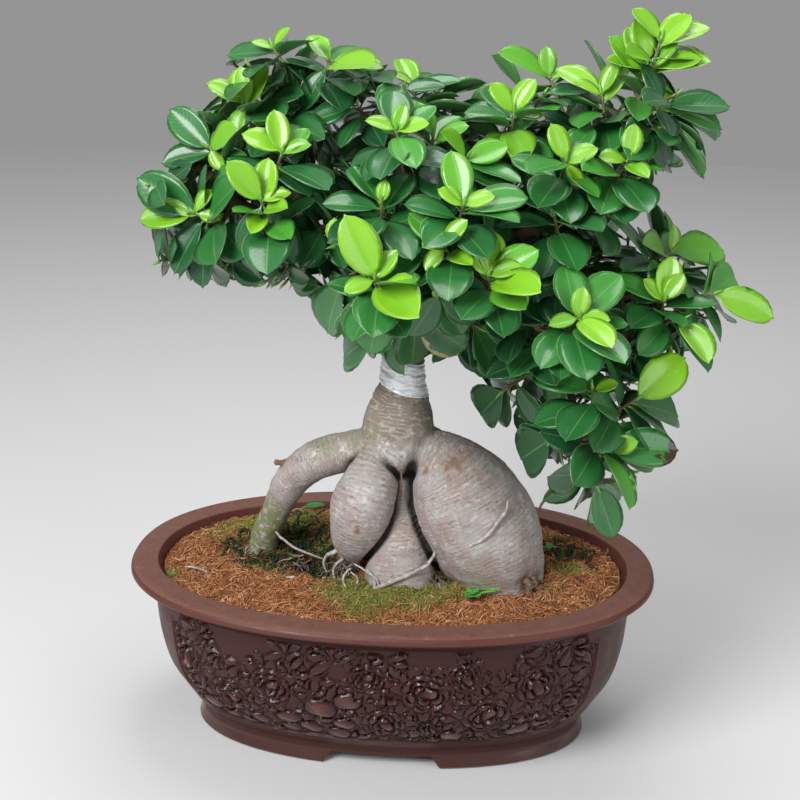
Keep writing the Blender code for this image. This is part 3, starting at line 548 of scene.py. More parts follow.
def potProfile():
    outside = pot["outside"]
    rows = []
    for k in range(len(outside) - 1):
        a = np.array(outside[k], float)
        b = np.array(outside[k + 1], float)
        length = np.linalg.norm(b - a)
        inPanel = panel["low"] - 4 < (a[1] + b[1]) / 2 < panel["high"] + 4
        count = max(2, round(length / (panel["step"] if inPanel else 3.0)))
        before = np.array(outside[k - 1], float) if k and k not in pot["sharpCorners"] else 2 * a - b
        last = k + 1 in pot["sharpCorners"]
        after = 2 * b - a if last else np.array((outside + [outside[-1]])[k + 2], float)
        for step in range(count):
            t = step / count
            rows.append(0.5 * (2 * a + (b - before) * t + (2 * before - 5 * a + 4 * b - after) * t * t
                               + (3 * a - before - 3 * b + after) * t ** 3))
    return np.array(rows)


def makePot(material):
    turns = potTurns()
    profile = potProfile()
    step = np.linalg.norm(np.diff(profile, axis=0), axis=1)
    climb = np.concatenate([[0], np.cumsum(step)])
    low = np.interp(panel["low"], profile[:, 1], climb)
    high = np.interp(panel["high"], profile[:, 1], climb)
    middle = ovalRing(pot["panelInset"], turns)
    around = np.hypot(np.diff(middle[0], append=middle[0][0]), np.diff(middle[1], append=middle[1][0]))
    distance = np.concatenate([[0], np.cumsum(around)[:-1]])
    whole = around.sum()
    rings = []
    looks = []
    halfTurn = math.radians(panel["halfTurn"])
    facing = [np.angle(np.exp(1j * (turns - centre))) for centre in (-math.pi / 2, math.pi / 2)]
    ends = [np.argmin(np.abs(turn)) for turn in facing]
    # Each place's way round from the middle of the front and of the back
    arcs = [(distance - distance[end] + whole / 2) % whole - whole / 2 for end in ends]
    halfLength = np.interp(halfTurn, np.sort(facing[0]), np.sort(arcs[0]))
    offset = np.zeros((len(profile), len(turns)))
    raised = offset.copy()
    cavityShade = offset.copy()
    rows = np.where((climb > low - 4) & (climb < high + 4))[0]
    for arc, turn in zip(arcs, facing):
        near = np.where(np.abs(turn) < halfTurn + 0.06)[0]
        near = near[np.argsort(arc[near])]
        u, v = np.meshgrid(arc[near], climb[rows] - low)
        cut = np.ix_(rows, near)
        offset[cut], raised[cut], cavityShade[cut] = panelOffset(u, v, halfLength, high - low)
    for row, (inset, z) in enumerate(profile):
        x, y = ovalRing(inset, turns)
        outward = np.column_stack([x / pot["halfLength"] ** 2, y / pot["halfWidth"] ** 2])
        outward /= np.linalg.norm(outward, axis=1)[:, None]
        own = offset[row][:, None]
        rings.append(np.column_stack([np.column_stack([x, y]) + outward * own, np.full(len(x), z)]))
        looks.append(np.column_stack([raised[row], cavityShade[row]]))
    below = pot["footInside"][::-1]
    start, height = pot["outside"][-1]
    span = pot["inside"][0][0] - start
    above = [(start + span * t, height) for t in (0, 0.25, 0.5, 0.75)] + pot["inside"]
    rings = [levelRing(row, turns) for row in below] + rings + [levelRing(row, turns) for row in above]
    plain = np.zeros((len(turns), 2))
    looks = [plain] * len(below) + looks + [plain] * len(above)
    points, faces = closedRings(rings, (0, 0, pot["underside"]), (0, 0, pot["floorTop"]))
    values = np.concatenate(looks + [np.zeros((2, 2))])
    cutPotFoot(newPiece("pot.body", [(points, faces, values)], material, ("relief", "recess"), ("pot",)))


def prism(outlineLow, outlineHigh):
    count = len(outlineLow)
    faces = [tuple(reversed(range(count))), tuple(range(count, 2 * count))]
    faces += [(i, (i + 1) % count, count + (i + 1) % count, count + i) for i in range(count)]
    mesh = bpy.data.meshes.new("cutter")
    mesh.from_pydata(placed(outlineLow + outlineHigh).tolist(), [], faces)
    shape = bmesh.new()
    shape.from_mesh(mesh)
    bmesh.ops.recalc_face_normals(shape, faces=shape.faces)
    shape.to_mesh(mesh)
    shape.free()
    return bpy.data.objects.new("cutter", mesh)


def cutPotFoot(piece):
    top = pot["archTop"] / 2
    foot = pot["archFoot"] / 2
    depth = pot["halfWidth"]
    high = pot["archHeight"]
    section = [(-foot, -1.0), (foot, -1.0), (foot, 0.0), (top, high), (-top, high), (-foot, 0.0)]
    cutters = [prism([(x, -depth, z) for x, z in section], [(x, depth, z) for x, z in section])]
    turns = [2 * math.pi * i / 40 for i in range(40)]
    radius = pot["holeRadius"]
    for middle in (-pot["holeX"], pot["holeX"]):
        ring = [(middle + radius * math.cos(t), radius * math.sin(t)) for t in turns]
        cutters.append(prism([(*p, -5) for p in ring], [(*p, 30) for p in ring]))
    group = bpy.data.collections.new("cutters")
    scene.collection.children.link(group)
    for cutter in cutters:
        group.objects.link(cutter)
    step = piece.modifiers.new("cut", "BOOLEAN")
    step.operation = "DIFFERENCE"
    step.operand_type = "COLLECTION"
    step.collection = group
    step.solver = "MANIFOLD"
    bpy.context.view_layer.update()
    applyModifiers(piece)
    for cutter in cutters:
        mesh = cutter.data
        bpy.data.objects.remove(cutter)
        bpy.data.meshes.remove(mesh)
    bpy.data.collections.remove(group)
    piece.data.set_sharp_from_angle(angle=math.radians(50))


def potMaterial():
    paint = Finish("stoneware", Coat_Roughness=0.14, Specular_IOR_Level=0.3,
                   Specular_Tint=pot["shineTint"])
    relief = paint.attribute("relief")
    # The recess is a quarter over the whole panel and higher in the hollows, where it paints shade
    recess = paint.attribute("recess")
    height = paint.height()
    onTop = paint.spread(height, 0.1160, 0.1168)
    clay = paint.blend(paint.cloud(30, 5), pot["clay"], tuple(0.72 * c for c in pot["clay"]))
    # Painted highlight: a lighter band round the rim's nose, under the flat top
    clay = paint.blend(paint.spread(height, 0.1070, 0.1105), clay, pot["noseHighlight"])
    clay = paint.blend(onTop, clay, pot["rim"])
    wear = paint.spread(paint.timesPlus(paint.cloud(6, 3), 2.6, relief), 3.6, 5.2, 0, 0.85)
    carved = paint.blend(wear, pot["ground"], pot["worn"])
    # Painted shade, near black, in the relief's hollows
    carved = paint.blend(paint.spread(recess, 0.26, 0.75), carved, pot["cavityShade"])
    carvedShare = paint.spread(paint.plus(relief, recess), 0.05, 0.4)
    paint.colour = paint.blend(carvedShare, clay, carved)
    speck = paint.spread(paint.cells(2.6), 0.10, 0.16, 1.0, 0.0)
    dust = paint.patches(9, 6, 0.7, 0.52, 0.72)
    dusty = paint.times(paint.times(dust, onTop), 0.55)
    paint.tint(dusty, pot["dust"])
    grit = paint.times(paint.spread(paint.cells(4.5), 0.22, 0.10), onTop)
    paint.tint(paint.times(grit, dust), pot["grit"])
    paint.tint(paint.times(paint.patches(4, 5, 0.7, 0.5, 0.7), paint.times(onTop, 0.5)), pot["stain"])
    paint.tint(speck, pot["speck"], 0.28)
    rough = paint.patches(14, 5, 0.55, 0.3, 0.7, 0.34, 0.5)
    rough = paint.plus(rough, paint.times(onTop, 0.12))
    rough = paint.maths("SUBTRACT", rough, paint.times(carvedShare, 0.14))
    paint.feed(rough, "Roughness")
    glaze = paint.spread(relief, 1.2, 3.2)
    atFoot = paint.spread(height, 0.010, 0.007)
    shine = paint.maths("MAXIMUM", paint.times(glaze, 0.45), paint.times(atFoot, 0.9))
    paint.feed(shine, "Coat Weight")
    paint.bump([(paint.cloud(1.4, 3), 0.12, 0.3), (paint.cloud(9, 3), 0.2, 0.5)])
    return paint.done()


makePot(potMaterial())
print("pot made")


# Roots, neck and grafted branches, skinned over the CAD chains and wrinkled across their run

roots = {
    "chains": {
        "neck": [(7, 0, 260, 11.5), (6, 0, 246, 13), (6, 0, 235, 14), (5, 0, 227, 17.5),
                 (5, -1, 219, 20), (4, -2, 211, 23), (4, -3, 201, 24)],
        "arched": [(-4, -3, 194, 17), (-26, -2, 191, 13.5), (-45, -2, 186, 13), (-62, 0, 173, 12),
                   (-73, 3, 153, 10.5), (-81, 6, 134, 9.8), (-87, 7, 116, 9.5), (-92, 8, 95, 9),
                   (-95, 8, 76, 5)],
        "drop": [(-4, -8, 196, 15), (-10, -16, 187, 14.5), (-12, -22, 177, 18), (-16, -26, 165, 20),
                 (-19, -25, 150, 18), (-23, -21, 135, 12.5), (-25, -18, 124, 8), (-27, -16, 108, 6)],
        "middle": [(3, -6, 178, 10), (5, -9, 159, 12), (6, -15, 144, 17), (7, -21, 129, 21),
                   (8, -25, 112, 23), (8, -25, 96, 20), (8, -25, 83, 14)],
        "great": [(13, -5, 197, 17), (31, -8, 191, 18), (41, -10, 180, 26), (48, -12, 166, 34),
                  (59, -13, 147, 36.5), (66, -13, 131, 33), (70, -13, 112, 29), (71, -13, 97, 24),
                  (72, -12, 85, 16)],
        "backLeft": [(-2, 6, 194, 17), (-12, 24, 176, 16), (-22, 38, 152, 15), (-28, 45, 126, 13),
                     (-31, 48, 100, 11), (-32, 48, 82, 6)],
        "backRight": [(14, 6, 194, 18), (30, 24, 174, 18), (42, 38, 148, 17), (48, 46, 122, 15),
                      (50, 50, 98, 12), (50, 50, 82, 7)],
    },
    "voxel": 1.5,
    "wrinklePitch": 2.6,
    "wrinkleDepth": 0.2,
    "crackPitch": 2.6,
    "lumpDepth": 0.8,
    "creaseWidth": 2.7,
    "creaseDepth": 3.6,
    "creaseTop": 203.0,
    # Marks as (x, y, z, reach, brownness, depth); a negative brownness gives pale crust together with painted
    # highlight
    "scars": [(23, -24, 191, 4.5, 0.9, 0.6), (44, -26, 199, 8, 0.75, 0.4), (39, -31, 193, 7, 0.6, 0.3),
              (57, -33, 189, 5, 0.5, 0.3), (-17, -44, 156, 4, 0.8, 0.5), (88, -36, 121, 8, 0.95, 2.2),
              (94, -27, 120, 6, 0.9, 1.5), (-2, -22, 204, 7, -0.5, 0.4), (-14, -38, 176, 10, -0.42, 0.0),
              (-30, -14, 196, 8, -0.4, 0.0), (6, -26, 194, 10, -0.42, 0.2), (-50, -12, 192, 8, -0.36, 0.0),
              (74, -40, 150, 12, -0.3, 0.0), (12, -19, 212, 6, -0.4, 0.3), (-70, -2, 181, 4, 0.9, 0.0),
              (-36, -27, 127, 9, 0.6, 0.8), (-27, -22, 116, 9, 0.6, 0.4), (-35, -14, 186, 5, 0.4, 0.3),
              (70, -40, 172, 5, 0.3, 0.2)],
    # Green patches as (x, y, z, reach, strength)
    "algae": [(-86, 6, 128, 22, 1.0), (-78, 4, 146, 16, 0.7), (-44, -10, 196, 14, 0.40),
              (-20, -12, 204, 14, 0.40), (-4, -20, 208, 14, 0.25), (60, -44, 122, 13, 0.45),
              (92, -34, 152, 20, 0.3), (66, -30, 190, 16, 0.3), (-30, 46, 132, 22, 0.5),
              (46, 50, 128, 20, 0.4)],
    "grey": (0.375, 0.348, 0.333),
    "pale": (0.61, 0.585, 0.57),
    "rosy": (0.34, 0.272, 0.246),
    "dark": (0.12, 0.09, 0.068),
    "neck": (0.235, 0.19, 0.145),
    "green": (0.15, 0.19, 0.055),
    "brown": (0.21, 0.105, 0.055),
    "twigBrown": (0.16, 0.11, 0.065),
    # Painted shade for the creases between root chains
    "creaseShade": (0.016, 0.011, 0.008),
    # The cut branch stub as (start, direction)
    "nub": ((-69, -2, 181), (-0.75, -0.45, 0.2)),
}

branches = {
    "scion": [(6, 0, 250, 11), (8, 2, 270, 10), (9, 3, 288, 8.5)],
    "left": [(8, 2, 272, 8), (-22, -5, 303, 6.5), (-60, -8, 333, 5.5), (-98, -5, 352, 4.5),
             (-118, 2, 372, 3)],
    "left top": [(-48, -8, 326, 4.5), (-62, 2, 362, 4), (-72, 12, 398, 3.5), (-66, 14, 418, 2.6)],
    "middle": [(8, 2, 278, 7.5), (12, 8, 318, 6.5), (4, 12, 362, 5), (-4, 12, 398, 3)],
    "right": [(8, 2, 276, 8.5), (42, 0, 305, 7.5), (80, 0, 335, 6.5), (110, 4, 372, 5), (124, 6, 404, 3.2)],
    "right low": [(56, 0, 316, 5.5), (96, -18, 314, 5), (134, -26, 308, 4), (160, -24, 306, 3)],
    "hanging": [(8, -3, 268, 6), (50, -18, 284, 5.5), (86, -38, 276, 4.5), (108, -54, 252, 3.6),
                (116, -64, 232, 2.8)],
    "front": [(6, -4, 274, 5.5), (2, -32, 300, 4.5), (-2, -62, 316, 3.4), (-3, -76, 318, 2.8)],
    "front right": [(38, 0, 302, 5), (58, -34, 318, 4.2), (76, -62, 308, 3.2), (90, -74, 300, 2.6)],
    "front upper": [(10, 4, 306, 5), (22, -24, 336, 4), (30, -50, 348, 3), (32, -60, 354, 2.6)],
    "upper right": [(11, 8, 326, 5), (44, 6, 366, 4.2), (66, 2, 392, 3), (72, 2, 400, 2.6)],
    "right shoulder": [(84, 1, 342, 4.5), (94, -20, 356, 3.6), (108, -32, 368, 2.8)],
    "left front": [(-30, -6, 309, 4.6), (-54, -30, 330, 3.8), (-68, -42, 348, 3)],
    "back": [(8, 6, 282, 6), (8, 40, 312, 5), (0, 66, 338, 4), (-6, 72, 362, 2.8)],
    "back left": [(-40, -6, 318, 5), (-66, 30, 338, 4), (-88, 50, 352, 3), (-96, 52, 366, 2.6)],
    "back right": [(60, 1, 320, 5), (84, 34, 338, 4), (110, 50, 348, 3), (120, 46, 364, 2.6)],
    "back low": [(10, 6, 270, 5.5), (48, 32, 282, 4.5), (84, 48, 276, 3.4), (104, 46, 270, 2.6)],
    "back top": [(20, 8, 340, 4), (36, 34, 366, 3.4), (44, 44, 384, 2.6)],
}


def skinnedRoots():
    samples = []
    for chain in roots["chains"].values():
        path = smoothPath(chain, 8)
        along = np.concatenate([[0], np.cumsum(np.linalg.norm(np.diff(path[:, :3], axis=0), axis=1))])
        first = len(samples)
        samples += [(*p, a, first) for p, a in zip(path, along)]
    shape = bmesh.new()
    for x, y, z, radius, _, _ in samples:
        place = Matrix.Translation(Vector((x, y, z)) * mm)
        fine = 3 if radius > 12 else 2
        bmesh.ops.create_icosphere(shape, subdivisions=fine, radius=radius * mm, matrix=place)
    mesh = bpy.data.meshes.new("roots")
    shape.to_mesh(mesh)
    shape.free()
    skin = bpy.data.objects.new("roots", mesh)
    scene.collection.objects.link(skin)
    step = skin.modifiers.new("skin", "REMESH")
    step.mode = "VOXEL"
    step.voxel_size = roots["voxel"] * mm
    step = skin.modifiers.new("even", "SMOOTH")
    step.factor = 0.5
    step.iterations = 7
    bpy.context.view_layer.update()
    applyModifiers(skin)
    mesh = skin.data
    points = np.empty(len(mesh.vertices) * 3, np.float32)
    mesh.vertices.foreach_get("co", points)
    normals = np.empty(len(mesh.vertices) * 3, np.float32)
    mesh.vertices.foreach_get("normal", normals)
    faces = np.empty(len(mesh.loops), np.int32)
    mesh.loops.foreach_get("vertex_index", faces)
    bpy.data.objects.remove(skin)
    bpy.data.meshes.remove(mesh)
    return points.reshape(-1, 3) / mm, normals.reshape(-1, 3), faces.reshape(-1, 4), samples


def makeTrunk(material):
    points, normals, faces, samples = skinnedRoots()
    tree = pointTree([sample[:3] for sample in samples])
    along = np.zeros(len(points))
    for i, p in enumerate(points):
        near = tree.find_n(p, 3)
        share = [1 / (0.5 + distance) for _, _, distance in near]
        along[i] = sum(samples[k][4] * w for (_, k, _), w in zip(near, share)) / sum(share)
    patch = noiseAt(points, 11, 3)
    crease = creaseAt(points, samples)
    lumps = noiseAt(points, 16) + 0.5 * noiseAt(points, 6.5, 9)
    wave = along / roots["wrinklePitch"] + 1.5 * noiseAt(points, 14, 5)
    wrinkle = np.sin(2 * math.pi * wave) * (0.35 + 0.9 * np.clip(patch + 0.35, 0, 1))
    high = np.clip((points[:, 2] - 205) / 25, 0, 1)
    offset = roots["lumpDepth"] * lumps + roots["wrinkleDepth"] * wrinkle * (1 + 0.9 * high)
    scar = np.zeros(len(points))
    for x, y, z, reach, brown, depth in roots["scars"]:
        d = np.linalg.norm(points - (x, y, z), axis=1) / reach
        fade = np.exp(-d ** 2) * (0.75 + 0.7 * noiseAt(points, 3.5, x))
        scar += brown * fade
        offset -= depth * np.exp(-d ** 2)
    algae = np.zeros(len(points))
    for x, y, z, reach, strength in roots["algae"]:
        d = np.linalg.norm(points - (x, y, z), axis=1) / reach
        algae += strength * np.exp(-d ** 2)
    points = points + normals * (offset - roots["creaseDepth"] * crease)[:, None]
    values = np.column_stack([along, scar, algae, np.zeros(len(points)), crease])
    blocks = [(points, [faces], values)]
    for name, knots in branches.items():
        blocks.append(branchBlock(name, knots))
    blocks.append(nubBlock(*roots["nub"]))
    return newPiece("trunk.bark", blocks, material, barkValues, ("trunk",))


def creaseAt(points, samples):
    # Strong where two root chains are equally near, so their meeting line is cut in and given painted shade
    table = np.array(samples)
    reach = []
    for first in np.unique(table[:, 5]):
        own = table[table[:, 5] == first]
        near = np.full(len(points), 1e9)
        for x, y, z, radius, _, _ in own:
            near = np.minimum(near, np.linalg.norm(points - (x, y, z), axis=1) - radius)
        reach.append(near)
    reach = np.sort(np.array(reach), axis=0)
    crease = np.exp(-((reach[1] - reach[0]) / roots["creaseWidth"]) ** 2) * np.clip((7 - reach[1]) / 4, 0, 1)
    return crease * np.clip((roots["creaseTop"] - points[:, 2]) / 14, 0, 1)


def branchBlock(name, knots):
    rows = []
    for a, b in zip(knots, knots[1:]):
        a = np.array(a, float)
        b = np.array(b, float)
        count = max(3, round(np.linalg.norm(b[:3] - a[:3]) / 3))
        rows += [a + (b - a) * k / count for k in range(count)]
    rows.append(np.array(knots[-1], float))
    rows = np.array(rows)
    soften(rows, 3)
    radii = rows[:, 3] * 0.93
    points, faces, along = tubeBlock(rows[:, :3], radii, 12)
    centres = np.concatenate([np.repeat(rows[:, :3], 12, axis=0), rows[[0, -1], :3]])
    out = points - centres
    out /= np.linalg.norm(out, axis=1)[:, None] + 1e-9
    points = points + out * (0.5 * noiseAt(points, 5) + 0.25 * noiseAt(points, 2))[:, None]
    share = 0.35 if name == "scion" else 1.0
    looks = np.tile((0, 0, share, 0), (len(points), 1))
    return points, faces, np.column_stack([along * len(rows) * 3, looks])


def nubBlock(start, direction):
    direction = np.array(direction) / np.linalg.norm(direction)
    path = [np.array(start) + direction * d + np.array((0, 0, 0.12)) * d for d in (-2, 0, 2, 4, 6, 7.5)]
    points, faces, _ = tubeBlock(path, [3.4, 3.0, 2.2, 1.8, 1.9, 1.0], 9)
    points = points + np.column_stack([noiseAt(points, 2, k) for k in range(3)]) * 0.8
    return points, faces, np.tile((0, 0.95, 0, 0, 0), (len(points), 1))


barkValues = ("along", "scar", "algae", "branch", "crease")


def barkMaterial():
    paint = Finish("fig bark", Specular_IOR_Level=0.25)
    along = paint.attribute("along")
    height = paint.height()
    onNeck = paint.spread(paint.timesPlus(paint.cloud(9, 4), 0.03, height), 0.203, 0.236)
    paint.colour = paint.blend(paint.patches(16, 5, 0.55, 0.38, 0.64), roots["grey"], roots["rosy"])
    paint.tint(onNeck, roots["neck"], 0.85)
    paint.tint(paint.patches(5, 6, 0.7, 0.52, 0.68, 0, 0.5), roots["pale"])
    paint.tint(paint.patches(2.8, 6, 0.75, 0.54, 0.70, 0, 0.5), roots["dark"])
    bent = paint.timesPlus(paint.cloud(9, 4), 4.0, along)
    crack = paint.maths("PINGPONG", paint.maths("DIVIDE", bent, roots["crackPitch"]), 0.5)
    broken = paint.patches(4.5, 4, 0.6, 0.40, 0.58)
    crackLine = paint.times(paint.spread(crack, 0.15, 0.02), broken)
    paint.tint(crackLine, roots["dark"], 0.48)
    paleLine = paint.times(paint.spread(crack, 0.30, 0.48), broken)
    paint.tint(paleLine, roots["pale"], 0.45)
    speck = paint.spread(paint.cells(2.3), 0.20, 0.08, 0.0, 0.7)
    paint.tint(paint.times(speck, paint.patches(7, 3, 0.55, 0.4, 0.6)), roots["pale"])
    moss = paint.times(paint.attribute("algae"), paint.patches(5, 6, 0.7, 0.36, 0.58))
    paint.tint(paint.spread(moss, 0.05, 0.65, 0, 0.85), roots["green"])
    scar = paint.attribute("scar")
    rough = paint.timesPlus(paint.cloud(2.6, 5, 0.7), 0.9, -0.42)
    paint.tint(paint.spread(paint.plus(scar, rough), 0.10, 0.85, 0, 0.85), roots["brown"])
    # Pale where the scar value is negative: pale rootlets and crust, with painted highlight on the upper
    # fronts of the roots
    paleMarkAndHighlight = paint.times(paint.spread(scar, -0.06, -0.36), paint.patches(3.2, 4, 0.65, 0.44, 0.60))
    paint.tint(paleMarkAndHighlight, roots["pale"], 0.85)
    branch = paint.attribute("branch")
    paint.tint(branch, roots["twigBrown"], 0.85)
    # Painted shade, near black, in the creases where root chains meet
    crease = paint.spread(paint.attribute("crease"), 0.18, 0.8, 0, 0.95)
    paint.tint(crease, roots["creaseShade"])
    paint.feed(paint.patches(6, 3, 0.55, 0.3, 0.7, 0.62, 0.85), "Roughness")
    ridge = paint.times(crack, paint.patches(8, 3, 0.55, 0.35, 0.6, 0.4, 1.0))
    paint.bump([(ridge, 0.55, 0.55), (paint.cloud(1.0, 5, 0.7), 0.5, 0.45), (paint.cells(2.6), 0.3, 0.5)])
    return paint.done()


barkFinish = barkMaterial()
trunkPiece = makeTrunk(barkFinish)
trunkPiece.data.calc_loop_triangles()
print("trunk made, triangles:", len(trunkPiece.data.loop_triangles))


# Graft tape: silvery film wound round the neck, its turns overlapping

tape = {
    "low": 236.0,
    "high": 257.0,
    "slant": -0.32,
    "neckX": 6.0,
    "neckRadius": 14.0,
    "rows": 34,
    "sides": 110,
    "turns": 3.4,
    "lift": 0.8,
    "lap": 0.55,
    "crinkle": 0.45,
    "sunk": 0.6,
    "silver": (0.95, 0.97, 1.0),
    "shade": (0.55, 0.57, 0.62),
    "edge": (0.22, 0.21, 0.22),
}


def barkTree():
    mesh = trunkPiece.data
    mesh.calc_loop_triangles()
    shift = np.array(plantShift)
    points = [Vector(np.array(v.co) / mm - shift) for v in mesh.vertices]
    return BVHTree.FromPolygons(points, [tuple(t.vertices) for t in mesh.loop_triangles])


def makeTape(material, tree):
    rows = tape["rows"]
    sides = tape["sides"]
    turns = 2 * math.pi * np.arange(sides) / sides
    reach = np.zeros((rows, sides))
    centres = np.zeros((rows, sides, 3))
    for r in range(rows):
        for i, turn in enumerate(turns):
            out = Vector((math.cos(turn), math.sin(turn), 0))
            height = tape["low"] + (tape["high"] - tape["low"]) * r / (rows - 1)
            centre = Vector((tape["neckX"], 0, height + tape["slant"] * tape["neckRadius"] * out.x))
            hit = tree.ray_cast(centre + out * 40, -out)[0]
            reach[r, i] = (hit - centre).length
            centres[r, i] = centre
    smooth = reach.copy()
    for _ in range(8):
        smooth = (np.roll(smooth, 1, 1) + np.roll(smooth, -1, 1) + 2 * smooth) / 4
        smooth[1:-1] = (smooth[:-2] + smooth[2:] + 2 * smooth[1:-1]) / 4
    smooth = np.maximum(smooth, reach)
    share = np.linspace(0, 1, rows)[:, None]
    lap = np.modf(share * tape["turns"] + turns[None] / (2 * math.pi) + 1)[0]
    out = np.column_stack([np.cos(turns), np.sin(turns), np.zeros(sides)])[None]
    outer = centres + out * (smooth + tape["lift"] + tape["lap"] * lap)[:, :, None]
    stretched = outer.reshape(-1, 3) * (1, 1, 2.6)
    crinkle = (noiseAt(stretched, 5) + 0.6 * noiseAt(stretched, 2.2, 4)).reshape(rows, sides)
    outer = outer + out * (tape["crinkle"] * crinkle)[:, :, None]
    inner = centres + out * (reach - tape["sunk"])[:, :, None]
    rings = np.concatenate([outer, inner[::-1]])
    # The last ring is joined to the first
    faces = ringQuads(len(rings) + 1, sides) % (len(rings) * sides)
    laps = np.concatenate([lap, lap[::-1]])
    newPiece("graft.tape", [(rings.reshape(-1, 3), [faces], laps)], material, ("lap",), ("graft_tape",))


def tapeMaterial():
    paint = Finish("graft tape", Metallic=0.05, Coat_Weight=0.5, Coat_Roughness=0.1)
    crease = paint.cloud(6.0, 3, 0.5, stretch=(1, 1, 3.0))
    lap = paint.attribute("lap")
    paint.colour = paint.blend(paint.spread(crease, 0.50, 0.66, 0, 0.55), tape["silver"], tape["shade"])
    paint.tint(paint.spread(lap, 0.08, 0.0, 0, 0.6), tape["edge"])
    paint.feed(paint.patches(2, 3, 0.55, 0.35, 0.65, 0.22, 0.42), "Roughness")
    paint.bump([(crease, 0.5, 0.8)])
    return paint.done()


makeTape(tapeMaterial(), barkTree())
print("graft tape made")


# Foliage: every CAD leaf again as a curved blade on its own twig, with young leaves and buds added

foliage = {
    "stretch": 1.1,
    "shortestOld": 30.0,
    "longest": 46.0,
    "twigReach": 42.0,
    "twigRadius": 1.9,
    # The drawn twig's radius at its foot and at its tip
    "twigTaper": (1.5, 0.95),
    "thickestBranch": 6.6,
    "fineGrid": (9, 7),
    "youngGrid": (7, 5),
    "towardView": 1.1,
    "damaged": {(32, "added", 1): 1.0, (41, 0, 0): -1.0},
    "tipCurve": 0.58,
    "colours": [(0.08, (0.25, 0.56, 0.016)), (0.18, (0.19, 0.50, 0.018)), (0.30, (0.12, 0.42, 0.022)),
                (0.50, (0.065, 0.32, 0.03)), (0.70, (0.030, 0.200, 0.033)), (0.88, (0.018, 0.125, 0.030)),
                (0.97, (0.010, 0.075, 0.024))],
    "margin": (0.28, 0.52, 0.16),
    "rib": (0.17, 0.42, 0.10),
    "under": (0.085, 0.24, 0.07),
    "stalk": (0.14, 0.28, 0.04),
    "shade": (0.50, 0.62, 1.0),
    "fleck": (0.10, 0.22, 0.06),
    "burn": (0.045, 0.022, 0.010),
    "paleEdge": (0.55, 0.45, 0.22),
    "twigBrown": (0.13, 0.085, 0.04),
    "twigGreen": (0.10, 0.13, 0.04),
}

